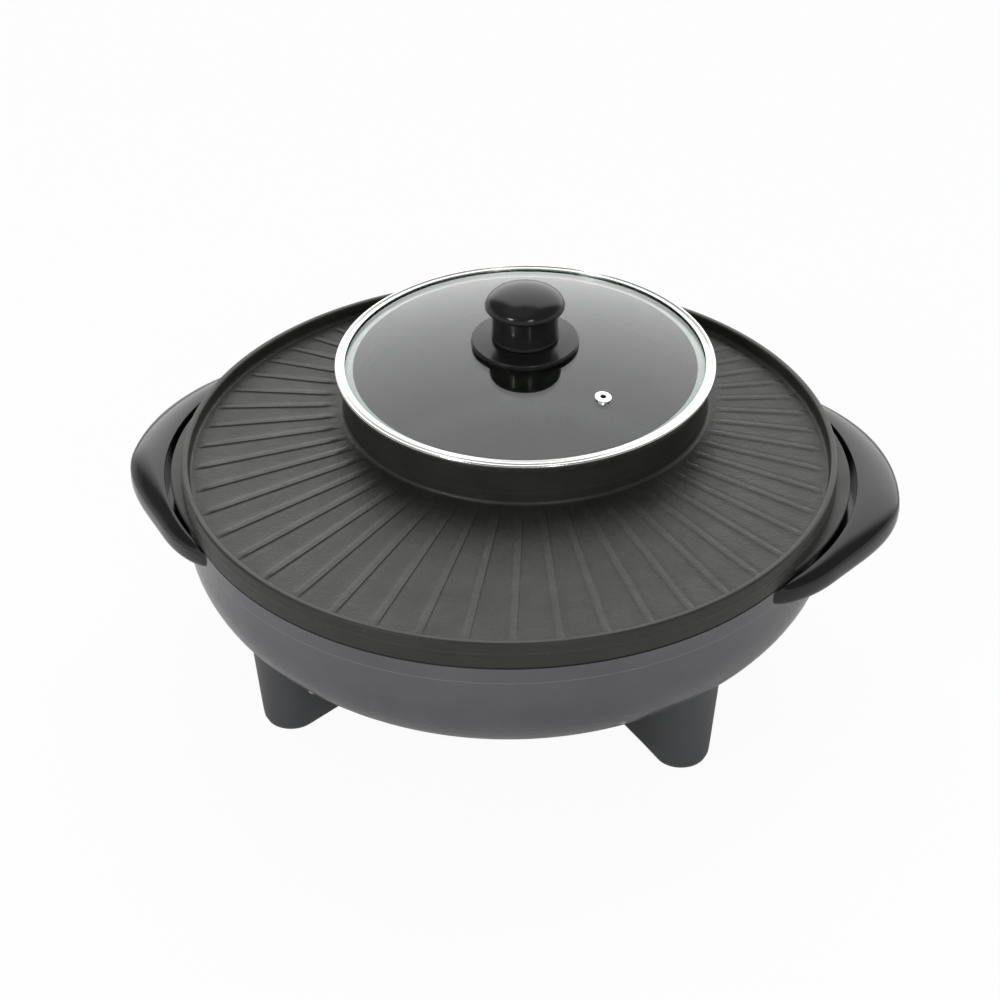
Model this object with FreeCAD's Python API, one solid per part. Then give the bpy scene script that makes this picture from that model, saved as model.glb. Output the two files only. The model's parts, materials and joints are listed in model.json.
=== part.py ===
import FreeCAD, Part
import math
import os

# Electric hot pot: a round grill pan with a pot sunk into it towards the back, on a bowl with four feet.
# Millimetres. Origin on the table under the pan's centre, +Z up, +Y towards the pot, +X to the right handle.

V = FreeCAD.Vector

# Bowl and its floor
ground_clearance = 16.8      # table to the underside of the bottom plate
bottom_plate_thick = 1.2
bottom_plate_radius = 84.0
bowl_radius = 189.0          # outside of the bowl at its widest
bowl_depth = 92.0            # depth of the ellipse that the bowl's curve follows
bowl_curve_top = 100.0       # height where the curve begins
bowl_wall = 3.0
bowl_band_proud = 0.6        # the upper band stands out this much from the bowl
bowl_band_height = 9.5
bowl_rim_height = 122.7      # height of the rim above the table
bowl_mouth_radius = 78.0     # hole in the floor, behind the bottom plate

# Grill pan
shadow_gap = 1.0             # open line between the bowl's rim and the pan's band
pan_radius = 190.0
pan_band_height = 16.3
pan_band_wall = 4.5
lip_width = 4.0
grill_depth = 7.6            # lip top down to the grill surface
grill_thick = 4.4
channel_radius = 178.5       # where the fat channel begins
channel_depth = 1.6
nest_gap = 0.8               # bowl upstand inside the pan's band
nest_wall = 3.0

# Ribs on the grill, all pointing at the pot
rib_count = 58
rib_height = 2.0
rib_base = 4.2
rib_crown = 1.8
rib_start = 118.0            # from the pot's centre
rib_end_gap = 1.0            # short of the channel
rib_least = 10.0             # no rib shorter than this

# Ears of the pan, beside the handles
ear_radius = 198.0
ear_thick = 3.0
ear_half_angle = 26.0
ear_corner = 7.0

# Pot sunk in the pan
pot_offset = 60.0            # pot's centre behind the pan's centre
pot_mouth_radius = 103.5
pot_floor_radius = 98.0
pot_floor_height = 64.0      # inside floor above the table
pot_wall = 4.6
pot_floor_thick = 5.0
pot_floor_round = 18.0
collar_rise = 22.8           # collar above the grill surface
collar_root = 4.0            # fillet between collar and grill

# Lid
glass_radius = 109.5
glass_thick = 3.8
glass_rise = 14.5
glass_hole_radius = 4.0
band_radius = 113.0
band_sheet = 1.0
band_cover = 3.0             # band over the edge of the glass
band_skirt_drop = 4.8
band_skirt_gap = 0.9         # skirt inside the pot's mouth
vent_radius = 69.5           # vent from the lid's centre
vent_angle = -40.8
vent_bore = 1.6
vent_wall = 1.3
vent_flange = 5.0

# Knob
knob_disc_radius = 32.0
knob_disc_thick = 2.7
knob_neck_radius = 18.8
knob_waist_radius = 17.0
knob_cap_radius = 22.7
knob_neck_height = 11.5
knob_height = 39.5           # above the disc
gasket_thick = 0.8
gasket_radius = 20.0
insert_radius = 3.5
insert_length = 15.6
knob_screw_radius = 2.0

# Handles
handle_reach = 227.0         # tip of each handle from the pan's centre
handle_half_width = 107.0
handle_curve_depth = 88.0    # depth of the ellipse that the handle's outline follows
handle_end_angle = 33.0
handle_top = 125.6
handle_under = 98.0
handle_end_height = 13.0
handle_gap = 3.6             # between ear and handle at the middle
handle_gap_end = 0.7
handle_shelf_gap = 3.6       # under the ear
handle_band_gap = 0.7        # beside the pan's band

# Feet
foot_angle = 39.5            # from the X axis
foot_ring = 148.0            # foot's centre from the pan's centre, at the table
foot_ring_top = 141.0
foot_top_height = 75.0
foot_radial = 14.0
foot_across = 15.5
foot_radial_top = 34.0
foot_across_top = 27.0
foot_round = 6.0
pad_radius = 9.0
pad_show = 1.5               # pad below the foot
pad_socket = 3.5

# Inlet under the left handle
inlet_height = 80.0
inlet_width = 46.0
inlet_tall = 22.0
inlet_depth = 20.0
inlet_wall = 2.0
inlet_face = 185.5           # mouth of the socket from the pan's centre
pin_radius = 2.5
pin_shank_radius = 2.0       # through the socket's back wall and behind it
pin_length = 14.0
pin_nose = 1.2               # rounding of its tip
pin_spacing = 22.0
pin_tail = 12.0
probe_radius = 3.4
probe_wall = 0.8
probe_boss_radius = 7.0
probe_boss_length = 16.0

# Heating elements
element_radius = 3.3
pot_element_ring = 62.0
pot_element_gap_angle = 20.0
element_bend = 9.0
element_leg = 5.0
element_cover = 2.6          # casting round the pot's element
grill_element_outer = 158.0
grill_element_inner = 138.0
grill_element_end = 20.0     # angle past the X axis, towards the back, at both ends
clamp_thick = 1.2
clamp_width = 12.0
clamp_over = 4.0             # clamp past the element on both sides
clamp_boss_radius = 4.5
clamp_angles = (-170.0, -130.0, -90.0, -50.0, -10.0)

# Heat shield under the pot
shield_radius = 84.0
shield_thick = 0.8
shield_lip = 6.0
shield_drop = 12.0           # below the pot's floor
shield_post_ring = 36.0
shield_post_radius = 4.5
shield_post_count = 3

# Pillars that hold pan and bowl together
pillar_ring = 172.0
pillar_radius = 6.0
pillar_angles = (-120.0, -60.0, 20.0, 160.0)
pan_boss_height = 12.0

# Screws
screw_radius = 2.0
screw_head_radius = 3.9
screw_head_height = 2.6
hole_clearance = 0.25
foot_screw_length = 18.0
handle_screw_angle = 14.0
handle_screw_length = 16.0
handle_screw_height = 106.0
plate_screw_count = 4
plate_screw_ring = 80.8
short_screw_length = 6.0
vent_slot_count = 12
vent_slot_width = 5.0
vent_slot_inner = 34.0
vent_slot_outer = 60.0

# Leads
lead_radius = 1.3
lead_bend = 4.0
lead_spacing = 1.8           # leads beside each other in one sleeve
sleeve_radius = 4.0
sleeve_length = 6.0
fuse_radius = 3.0
fuse_length = 22.0
inlet_screw_length = 9.0
inlet_boss_radius = 4.6

# Heights that follow from the sizes above
bowl_floor = ground_clearance + bottom_plate_thick
band_bottom = bowl_rim_height + shadow_gap
lip_top = band_bottom + pan_band_height
grill_top = lip_top - grill_depth
grill_under = grill_top - grill_thick
collar_top = grill_top + collar_rise
pot_under = pot_floor_height - pot_floor_thick
glass_edge_under = collar_top + band_sheet
glass_edge_top = glass_edge_under + glass_thick
glass_apex = glass_edge_top + glass_rise
dome_radius = (glass_radius ** 2 + glass_rise ** 2) / (2 * glass_rise)
dome_centre = glass_apex - dome_radius
disc_under = glass_apex + gasket_thick
disc_top = disc_under + knob_disc_thick
pot_centre = V(0, pot_offset, 0)


def polar(radius, angle, height=0.0, centre=V(0, 0, 0)):
    turn = math.radians(angle)
    return centre + V(radius * math.cos(turn), radius * math.sin(turn), height)


def corner_edges(points, closed=True):
    """Straight runs joined by tangent arcs; each point is (vector, radius)."""
    count = len(points)
    starts = []
    ends = []
    arcs = []
    for i in range(count):
        here, radius = points[i]
        is_end = not closed and i in (0, count - 1)
        if radius <= 0 or is_end:
            starts.append(here)
            ends.append(here)
            arcs.append(None)
            continue
        before = (points[i - 1][0] - here).normalize()
        after = (points[(i + 1) % count][0] - here).normalize()
        half = math.acos(max(-1.0, min(1.0, before.dot(after)))) / 2
        reach = radius / math.tan(half)
        middle = (before + after).normalize() * (radius / math.sin(half) - radius)
        starts.append(here + before * reach)
        ends.append(here + after * reach)
        arcs.append(here + middle)
    edges = []
    for i in range(count):
        if arcs[i] is not None:
            edges.append(Part.Arc(starts[i], arcs[i], ends[i]).toShape())
        following = (i + 1) % count
        if following == 0 and not closed:
            break
        if (ends[i] - starts[following]).Length > 1e-6:
            edges.append(Part.LineSegment(ends[i], starts[following]).toShape())
    return edges


def section(points):
    """Closed outline in the X-Z plane from (radius, height, corner) triples."""
    return Part.Wire(corner_edges([(V(r, 0, z), corner) for r, z, corner in points]))


def revolved(points, centre=V(0, 0, 0)):
    solid = Part.Face(section(points)).revolve(V(0, 0, 0), V(0, 0, 1), 360)
    solid.translate(centre)
    return solid


def cylinder(radius, low, high, centre=V(0, 0, 0)):
    return Part.makeCylinder(radius, high - low, centre + V(0, 0, low))


def tube(points, bend, radius):
    """Round rod along straight runs joined by tangent arcs."""
    path = Part.Wire(corner_edges([(p, bend) for p in points], closed=False))
    ring = Part.Wire(Part.makeCircle(radius, points[0], points[1] - points[0]))
    return path.makePipeShell([ring], True, True)


def tidy(shape):
    return shape.removeSplitter()


def screw(head_seat, direction, length, radius=screw_radius):
    """Pan head screw; head_seat is under its head and direction points along the shank."""
    head = Part.makeCylinder(screw_head_radius, screw_head_height, V(0, 0, -screw_head_height))
    head = head.makeFillet(screw_head_height * 0.45, [head.Edges[2]])
    drive = Part.makeBox(screw_head_radius, radius * 0.4, screw_head_height * 0.45)
    drive.translate(V(-screw_head_radius / 2, -radius * 0.2, -screw_head_height))
    cross = drive.copy()
    cross.rotate(V(0, 0, 0), V(0, 0, 1), 90)
    shank = Part.makeCylinder(radius, length)
    shank = shank.makeChamfer(radius * 0.4, [shank.Edges[0]])
    solid = head.fuse(shank).cut(drive).cut(cross)
    solid.Placement = FreeCAD.Placement(head_seat, FreeCAD.Rotation(V(0, 0, 1), direction))
    return solid


def screw_hole(head_seat, direction, length, radius=screw_radius):
    hole = Part.makeCylinder(radius, length + 1.0)
    hole.Placement = FreeCAD.Placement(head_seat, FreeCAD.Rotation(V(0, 0, 1), direction))
    return hole


def ellipse_arc(radius, depth, from_height, to_height):
    """Arc of the bowl's ellipse between two heights, in the X-Z plane."""
    curve = Part.Ellipse(V(radius, 0, bowl_curve_top), V(0, 0, bowl_curve_top - depth), V(0, 0, bowl_curve_top))
    first = math.asin((bowl_curve_top - from_height) / depth)
    last = math.asin((bowl_curve_top - to_height) / depth)
    return Part.ArcOfEllipse(curve, min(first, last), max(first, last)).toShape()


def ellipse_radius(radius, depth, height):
    drop = bowl_curve_top - height
    return radius * math.sqrt(max(0.0, 1 - (drop / depth) ** 2))


def bowl_outside():
    """Solid filled shape inside the bowl's outer face, up to its rim."""
    floor_radius = ellipse_radius(bowl_radius, bowl_depth, bowl_floor)
    band_radius_out = bowl_radius + bowl_band_proud
    band_low = bowl_rim_height - bowl_band_height
    edges = [ellipse_arc(bowl_radius, bowl_depth, bowl_curve_top, bowl_floor)]
    ring = [V(bowl_radius, 0, bowl_curve_top), V(bowl_radius, 0, band_low - bowl_band_proud),
            V(band_radius_out, 0, band_low), V(band_radius_out, 0, bowl_rim_height),
            V(0, 0, bowl_rim_height), V(0, 0, bowl_floor), V(floor_radius, 0, bowl_floor)]
    for a, b in zip(ring[:-1], ring[1:]):
        edges.append(Part.LineSegment(a, b).toShape())
    face = Part.Face(Part.Wire(Part.__sortEdges__(edges)))
    return face.revolve(V(0, 0, 0), V(0, 0, 1), 360)


def bowl_inside():
    """Hollow of the bowl, from the inner floor to above the rim."""
    low = bowl_floor + bowl_wall
    radius = bowl_radius - bowl_wall
    depth = bowl_depth - bowl_wall
    nest_inner = nest_outer_radius() - nest_wall
    shoulder = bowl_rim_height - bowl_wall
    floor_radius = ellipse_radius(radius, depth, low)
    edges = [ellipse_arc(radius, depth, bowl_curve_top, low)]
    ring = [V(radius, 0, bowl_curve_top), V(radius, 0, shoulder - (radius - nest_inner)),
            V(nest_inner, 0, shoulder), V(nest_inner, 0, grill_under + 1),
            V(0, 0, grill_under + 1), V(0, 0, low), V(floor_radius, 0, low)]
    for a, b in zip(ring[:-1], ring[1:]):
        edges.append(Part.LineSegment(a, b).toShape())
    face = Part.Face(Part.Wire(Part.__sortEdges__(edges)))
    return face.revolve(V(0, 0, 0), V(0, 0, 1), 360)


def nest_outer_radius():
    return pan_radius - pan_band_wall - nest_gap


def bowl_inner_height(radius):
    """Height of the bowl's inner face at a distance from the centre."""
    share = radius / (bowl_radius - bowl_wall)
    return bowl_curve_top - (bowl_depth - bowl_wall) * math.sqrt(1 - share ** 2)


def bowl_outer_height(radius):
    share = radius / bowl_radius
    return bowl_curve_top - bowl_depth * math.sqrt(1 - share ** 2)


# Places shared by screws, bosses and holes

def pan_screw_seats():
    head = bowl_outer_height(pillar_ring) + bowl_wall + screw_head_height
    return [polar(pillar_ring, angle, head) for angle in pillar_angles]


def pan_screw_length():
    head = bowl_outer_height(pillar_ring) + bowl_wall + screw_head_height
    return grill_under - head - 2.0


def foot_places():
    places = []
    for name, angle in (("front_right", -foot_angle), ("front_left", foot_angle - 180),
                        ("rear_left", 180 - foot_angle), ("rear_right", foot_angle)):
        places.append((name, angle))
    return places


def foot_screw_seat(angle):
    return polar(foot_ring_top, angle, bowl_inner_height(foot_ring_top) + 3.0)


def handle_screw_seats(side):
    """Screws from inside the bowl outwards into a handle; side is +1 right, -1 left."""
    seats = []
    for turn in (-handle_screw_angle, handle_screw_angle):
        angle = turn if side > 0 else 180 - turn
        seat = polar(bowl_radius - bowl_wall, angle, handle_screw_height)
        seats.append((seat, polar(1, angle)))
    return seats


def plate_screw_seats():
    step = 360.0 / plate_screw_count
    return [polar(plate_screw_ring, step * (i + 0.5), ground_clearance) for i in range(plate_screw_count)]


def shield_posts_at():
    step = 360.0 / shield_post_count
    return [polar(shield_post_ring, step * i + 90, 0, pot_centre) for i in range(shield_post_count)]


def clamp_middle():
    return (grill_element_outer + grill_element_inner) / 2


def grill_element_height():
    return grill_under - element_radius


def pot_element_height():
    return pot_under - element_radius - 0.4


# Grill pan with its pot, collar, ears and ribs

def pan_plate():
    inner = pan_radius - lip_width
    floor = grill_top - channel_depth
    points = [(0, grill_under, 0), (pan_radius - pan_band_wall, grill_under, nest_gap / 2),
              (pan_radius - pan_band_wall, band_bottom, 0.8), (pan_radius, band_bottom, 0.8),
              (pan_radius, lip_top, 1.6), (inner, lip_top, 1.4),
              (inner - 0.8, floor, 2.0), (channel_radius + channel_depth, floor, 1.2),
              (channel_radius, grill_top, 1.0), (0, grill_top, 0)]
    return revolved(points)


def pot_shell():
    outer_top = pot_mouth_radius + pot_wall
    outer_floor = pot_floor_radius + pot_wall
    skirt = outer_top + 6.0
    points = [(0, pot_floor_height, 0), (pot_floor_radius, pot_floor_height, pot_floor_round),
              (pot_mouth_radius, collar_top - band_skirt_drop * 2, 4.0), (pot_mouth_radius, collar_top, 1.2),
              (outer_top, collar_top, 1.8), (outer_top + 0.6, grill_top, collar_root),
              (skirt, grill_top, 0), (skirt, grill_under, 0), (outer_top, grill_under, 3.0),
              (outer_floor, pot_under, pot_floor_round + pot_wall), (0, pot_under, 0)]
    return revolved(points, pot_centre), skirt


def rib(angle):
    """One rib: a rounded ridge from near the collar to the channel, or nothing where there is no room."""
    out = channel_radius - rib_end_gap
    turn = math.radians(angle)
    along = pot_offset * math.sin(turn)
    end = -along + math.sqrt(out ** 2 - pot_offset ** 2 + along ** 2)
    if end - rib_start < rib_least:
        return None
    half = rib_base / 2
    crown = rib_crown / 2
    sunk = 0.6
    slope = half - crown
    points = [(rib_start, -sunk, 0), (rib_start, 0, 0), (rib_start + slope * 1.6, rib_height, 1.5),
              (end - slope, rib_height, 1.0), (end, 0, 0), (end, -sunk, 0)]
    side = Part.Face(section(points)).extrude(V(0, rib_base, 0))
    side.translate(V(0, -half, 0))
    across = [V(0, -half, -sunk), V(0, -half, 0), V(0, -crown, rib_height), V(0, crown, rib_height),
              V(0, half, 0), V(0, half, -sunk), V(0, -half, -sunk)]
    bar = Part.Face(Part.makePolygon(across)).extrude(V(end + 1, 0, 0))
    solid = side.common(bar)
    solid.rotate(V(0, 0, 0), V(0, 0, 1), angle)
    solid.translate(pot_centre + V(0, 0, grill_top))
    return solid


def ears():
    shapes = []
    inner = pan_radius - pan_band_wall / 2
    for middle in (0.0, 180.0):
        low = middle - ear_half_angle
        high = middle + ear_half_angle
        edges = [Part.LineSegment(polar(inner, low), polar(ear_radius, low)).toShape(),
                 Part.Arc(polar(ear_radius, low), polar(ear_radius, middle), polar(ear_radius, high)).toShape(),
                 Part.LineSegment(polar(ear_radius, high), polar(inner, high)).toShape(),
                 Part.Arc(polar(inner, high), polar(inner, middle), polar(inner, low)).toShape()]
        blank = Part.Face(Part.Wire(edges)).extrude(V(0, 0, ear_thick))
        outer = [e for e in blank.Edges
                 if abs(e.Vertexes[0].Point.z - e.Vertexes[-1].Point.z) > ear_thick / 2
                 and e.CenterOfMass.Length > ear_radius - 0.5]
        blank = blank.makeFillet(ear_corner, outer)
        blank.translate(V(0, 0, band_bottom))
        shapes.append(blank)
    return shapes


def pot_element_path():
    height = pot_element_height()
    first = 180 + pot_element_gap_angle
    last = 540 - pot_element_gap_angle
    ring = Part.Arc(polar(pot_element_ring, first, height, pot_centre),
                    polar(pot_element_ring, (first + last) / 2, height, pot_centre),
                    polar(pot_element_ring, last, height, pot_centre)).toShape()
    before = leg_edges(polar(pot_element_ring, first, height, pot_centre), polar(1, first - 90))
    after = leg_edges(polar(pot_element_ring, last, height, pot_centre), polar(1, last + 90))
    return before[::-1] + [ring] + after


def leg_edges(end, forward):
    """Quarter bend downwards and a straight leg, from the end of a ring."""
    centre = end - V(0, 0, element_bend)
    middle = centre + (forward + V(0, 0, 1)).normalize() * element_bend
    turned = centre + forward * element_bend
    foot = turned - V(0, 0, element_leg)
    return [Part.Arc(end, middle, turned).toShape(), Part.LineSegment(turned, foot).toShape()]


def grill_element_path():
    height = grill_element_height()
    left = -180 - grill_element_end
    right = grill_element_end
    front = -90.0
    outer = Part.Arc(polar(grill_element_outer, left, height), polar(grill_element_outer, front, height),
                     polar(grill_element_outer, right, height)).toShape()
    middle = clamp_middle()
    half = (grill_element_outer - grill_element_inner) / 2
    bend = Part.Arc(polar(grill_element_outer, right, height),
                    polar(middle, right, height) + polar(half, right + 90),
                    polar(grill_element_inner, right, height)).toShape()
    inner = Part.Arc(polar(grill_element_inner, right, height), polar(grill_element_inner, front, height),
                     polar(grill_element_inner, left, height)).toShape()
    before = leg_edges(polar(grill_element_outer, left, height), polar(1, left - 90))
    after = leg_edges(polar(grill_element_inner, left, height), polar(1, left - 90))
    return before[::-1] + [outer, bend, inner] + after


def rod_along(edges, radius):
    path = Part.Wire(Part.__sortEdges__(edges))
    start = path.OrderedVertexes[0].Point
    first = path.OrderedEdges[0]
    direction = first.tangentAt(first.FirstParameter)
    if (first.valueAt(first.FirstParameter) - start).Length > 1e-6:
        direction = first.tangentAt(first.LastParameter)
    ring = Part.Wire(Part.makeCircle(radius, start, direction))
    return path.makePipeShell([ring], True, False)


def pot_element():
    return rod_along(pot_element_path(), element_radius)


def grill_element():
    return rod_along(grill_element_path(), element_radius)


def grill_pan():
    shell, skirt = pot_shell()
    plate = pan_plate().cut(cylinder(skirt, grill_under - 5, grill_top + 5, pot_centre))
    pan = plate.fuse([shell] + ears())
    step = 360.0 / rib_count
    ribs = [rib(-90 + step * i) for i in range(rib_count)]
    pan = pan.fuse([shape for shape in ribs if shape is not None])
    height = pot_element_height()
    low = height - element_radius - element_cover
    cover = element_radius + element_cover
    saddle = revolved([(pot_element_ring - cover, low, 2.5), (pot_element_ring + cover, low, 2.5),
                       (pot_element_ring + cover, pot_under + 0.5, 0),
                       (pot_element_ring - cover, pot_under + 0.5, 0)], pot_centre)
    opening = Part.makeBox(pot_element_ring + 30, 2 * element_bend + 26, 30)
    opening.translate(V(-pot_element_ring - 30, -element_bend - 13, low - 10) + pot_centre)
    saddle = saddle.cut(opening.cut(cylinder(500, pot_under, 200)))
    bosses = [cylinder(pillar_radius, grill_under - pan_boss_height, grill_under + 0.5, polar(pillar_ring, angle))
              for angle in pillar_angles]
    bosses += [cylinder(clamp_boss_radius, clamp_top(), grill_under + 0.5, polar(clamp_middle(), angle))
               for angle in clamp_angles]
    bosses += [cylinder(shield_post_radius, pot_under - 3.0, pot_under + 0.5, place) for place in shield_posts_at()]
    pan = pan.fuse([saddle] + bosses)
    pan = pan.fuse(probe_boss())
    cuts = [pot_element()]
    cuts += [screw_hole(seat, V(0, 0, 1), pan_screw_length()) for seat in pan_screw_seats()]
    cuts += [screw_hole(seat, V(0, 0, 1), short_screw_length) for seat in clamp_screw_seats()]
    cuts += [screw_hole(seat, V(0, 0, 1), shield_screw_length()) for seat in shield_screw_seats()]
    cuts.append(probe_hole())
    return tidy(pan.cut(cuts))


# The probe's boss on the pot's wall, in line with the inlet

def pot_wall_reach():
    """Distance of the pot's outer wall from the pan's centre plane, at the probe's height."""
    share = (inlet_height - pot_under) / (grill_under - pot_under)
    radius = pot_floor_radius + pot_wall + share * (pot_mouth_radius - pot_floor_radius)
    return math.sqrt(radius ** 2 - pot_offset ** 2)


def probe_boss():
    reach = pot_wall_reach()
    boss = Part.makeCylinder(probe_boss_radius, probe_boss_length + 6, V(6 - reach, 0, inlet_height), V(-1, 0, 0))
    inside = cylinder(pot_floor_radius, pot_floor_height + 2, grill_under, pot_centre)
    return boss.cut(inside)


def probe_end():
    return pot_wall_reach() + 3.0


def probe_hole():
    radius = probe_radius + probe_wall + hole_clearance
    return Part.makeCylinder(radius, 60, V(-probe_end(), 0, inlet_height), V(-1, 0, 0))


# Bowl, bottom plate and screws

def housing_bowl():
    upstand = cylinder(nest_outer_radius(), bowl_rim_height - 1, grill_under)
    bowl = bowl_outside().fuse(upstand).cut(bowl_inside())
    bowl = bowl.cut(cylinder(bowl_mouth_radius, bowl_floor - 5, bowl_floor + 20))
    inner = bowl_outside()
    pillars = [cylinder(pillar_radius, bowl_outer_height(pillar_ring) - 8, grill_under - pan_boss_height,
                        polar(pillar_ring, angle)) for angle in pillar_angles]
    bosses = []
    for name, angle in foot_places():
        seat = foot_screw_seat(angle)
        bosses.append(cylinder(screw_head_radius + 1.5, seat.z - 12, seat.z, V(seat.x, seat.y, 0)))
    for i in range(plate_screw_count):
        seat = plate_screw_seats()[i]
        bosses.append(cylinder(4.0, bowl_floor, bowl_floor + short_screw_length + 1, V(seat.x, seat.y, 0)))
    for seat in inlet_screw_seats():
        place = V(seat.x - inlet_wall, seat.y, seat.z)
        bosses.append(Part.makeCylinder(inlet_boss_radius, inlet_depth, place, V(-1, 0, 0)))
    bosses = [shape.common(inner) for shape in pillars + bosses]
    bowl = bowl.fuse(bosses)
    cuts = []
    for seat in pan_screw_seats():
        place = V(seat.x, seat.y, 0)
        cuts.append(cylinder(screw_radius + hole_clearance, 0, 200, place))
        cuts.append(cylinder(screw_head_radius + 0.6, bowl_outer_height(pillar_ring) - 20, seat.z, place))
    for name, angle in foot_places():
        cuts.append(screw_hole(foot_screw_seat(angle), V(0, 0, -1), 30, screw_radius + hole_clearance))
    for side in (1, -1):
        for seat, out in handle_screw_seats(side):
            cuts.append(screw_hole(seat - out * 4, out, 20, screw_radius + hole_clearance))
            cuts.append(screw_hole(seat - out * 6, out, 5.2, screw_head_radius + 0.4))
    for seat in plate_screw_seats():
        cuts.append(screw_hole(seat, V(0, 0, 1), short_screw_length))
    cuts.append(inlet_block(inlet_wall + 0.3, 30))
    for seat in inlet_screw_seats():
        cuts.append(screw_hole(seat, V(-1, 0, 0), inlet_screw_length))
    return tidy(bowl.cut(cuts))


def bottom_plate():
    plate = revolved([(0, ground_clearance, 0), (bottom_plate_radius, ground_clearance, 0.5),
                      (bottom_plate_radius, bowl_floor, 0), (0, bowl_floor, 0)])
    cuts = [screw_hole(seat, V(0, 0, 1), short_screw_length, screw_radius + hole_clearance)
            for seat in plate_screw_seats()]
    half = vent_slot_width / 2
    for i in range(vent_slot_count):
        slot = Part.makeBox(vent_slot_outer - vent_slot_inner, vent_slot_width, 10, V(vent_slot_inner, -half, bowl_floor - 5))
        ends = [cylinder(half, bowl_floor - 5, bowl_floor + 5, V(x, 0, 0)) for x in (vent_slot_inner, vent_slot_outer)]
        slot = slot.fuse(ends)
        slot.rotate(V(0, 0, 0), V(0, 0, 1), 360.0 * i / vent_slot_count)
        cuts.append(slot)
    return tidy(plate.cut(cuts))


# Handles: one loft through sections that follow the outline's ellipse

def handle_outline(angle):
    """Distance of the handle's outer edge from the pan's centre at an angle."""
    turn = math.radians(angle)
    centre = handle_reach - handle_curve_depth
    a = (math.cos(turn) / handle_curve_depth) ** 2 + (math.sin(turn) / handle_half_width) ** 2
    b = -2 * centre * math.cos(turn) / handle_curve_depth ** 2
    c = (centre / handle_curve_depth) ** 2 - 1
    root = max(0.0, b * b - 4 * a * c)
    return (-b + math.sqrt(root)) / (2 * a)


def handle_section(angle):
    root_radius = bowl_radius - bowl_wall
    out = max(handle_outline(angle), root_radius + 3.0)
    width = out - root_radius
    share = math.sqrt(min(1.0, width / (handle_reach - root_radius)))
    height = handle_end_height + (handle_top - handle_under - handle_end_height) * share
    top = bowl_rim_height + (handle_top - bowl_rim_height) * share
    low = top - height
    nose = low + height * 0.45
    top_curve = Part.BezierCurve()
    top_curve.setPoles([V(root_radius, 0, top), V(out - width * 0.42, 0, top + 1.2 * share),
                        V(out, 0, top - height * 0.06), V(out, 0, nose)])
    low_curve = Part.BezierCurve()
    low_curve.setPoles([V(out, 0, nose), V(out, 0, low + height * 0.1), V(out - width * 0.45, 0, low),
                        V(root_radius, 0, low)])
    edges = [top_curve.toShape(), low_curve.toShape(),
             Part.LineSegment(V(root_radius, 0, low), V(root_radius, 0, top)).toShape()]
    wire = Part.Wire(edges)
    wire.rotate(V(0, 0, 0), V(0, 0, 1), angle)
    return wire


def handle_slot_cut():
    """Room for the ear and the narrow slot beside it, and for the pan's band at both ends."""
    shelf = band_bottom - handle_shelf_gap
    inner = pan_radius - 15
    low = -ear_half_angle - 0.4
    high = ear_half_angle + 0.4
    end = ear_radius + handle_gap_end
    edges = [Part.LineSegment(polar(inner, low), polar(end, low)).toShape(),
             Part.Arc(polar(end, low), polar(ear_radius + handle_gap, 0), polar(end, high)).toShape(),
             Part.LineSegment(polar(end, high), polar(inner, high)).toShape(),
             Part.Arc(polar(inner, high), polar(inner, 0), polar(inner, low)).toShape()]
    room = Part.Face(Part.Wire(edges)).extrude(V(0, 0, 40))
    room.translate(V(0, 0, shelf))
    beside = cylinder(pan_radius + handle_band_gap, bowl_rim_height, bowl_rim_height + 40)
    return room.fuse(beside)


def handle(side):
    count = 11
    step = 2 * handle_end_angle / (count - 1)
    wires = [handle_section(-handle_end_angle + step * i) for i in range(count)]
    grip = Part.makeLoft(wires, True, False)
    grip = grip.cut(bowl_outside()).cut(handle_slot_cut())
    scoop = finger_scoop()
    grip = grip.cut(scoop)
    if side < 0:
        grip = grip.mirror(V(0, 0, 0), V(1, 0, 0))
    grip = grip.cut([screw_hole(seat, out, handle_screw_length) for seat, out in handle_screw_seats(side)])
    return tidy(grip)


def finger_scoop():
    """Shallow hollow under the handle for the fingers."""
    ring_radius = (bowl_radius + handle_reach) / 2 - 1
    ring = Part.makeTorus(ring_radius, 9.0, V(0, 0, handle_under - 3.5), V(0, 0, 1))
    wedge = Part.makeBox(80, 96, 40, V(150, -48, handle_under - 20))
    return ring.common(wedge)


# Feet and pads

def foot_oval(ring, radial, across, height):
    """Oval outline whose seam always lies on the outer side, so that the loft doesn't twist."""
    matrix = FreeCAD.Matrix()
    matrix.scale(radial, across, 1.0)
    oval = Part.makeCircle(1.0).transformGeometry(matrix)
    oval.translate(V(ring, 0, height))
    return Part.Wire(oval.Edges)


def foot(angle):
    inset = foot_round * 0.55
    base = foot_oval(foot_ring, foot_radial - inset, foot_across - inset, pad_show)
    ankle = foot_oval(foot_ring, foot_radial, foot_across, pad_show + foot_round)
    upper = foot_oval(foot_ring_top, foot_radial_top, foot_across_top, foot_top_height)
    shape = Part.makeLoft([ankle, upper], True, True).fuse(Part.makeLoft([base, ankle], True, True))
    shape.rotate(V(0, 0, 0), V(0, 0, 1), angle)
    cuts = [bowl_outside(), cylinder(pad_radius, 0, pad_show + pad_socket, polar(foot_ring, angle)),
            screw_hole(foot_screw_seat(angle), V(0, 0, -1), foot_screw_length)]
    cuts += [cylinder(screw_head_radius + 0.6, 0, lip_top, polar(pillar_ring, turn)) for turn in pillar_angles]
    return tidy(shape.cut(cuts))


def foot_pad(angle):
    pad = revolved([(0, 0, 0), (pad_radius, 0, 0.8), (pad_radius, pad_show + pad_socket, 0),
                    (0, pad_show + pad_socket, 0)])
    pad.translate(polar(foot_ring, angle))
    return pad


# Inlet: socket, pins and probe tube

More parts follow.
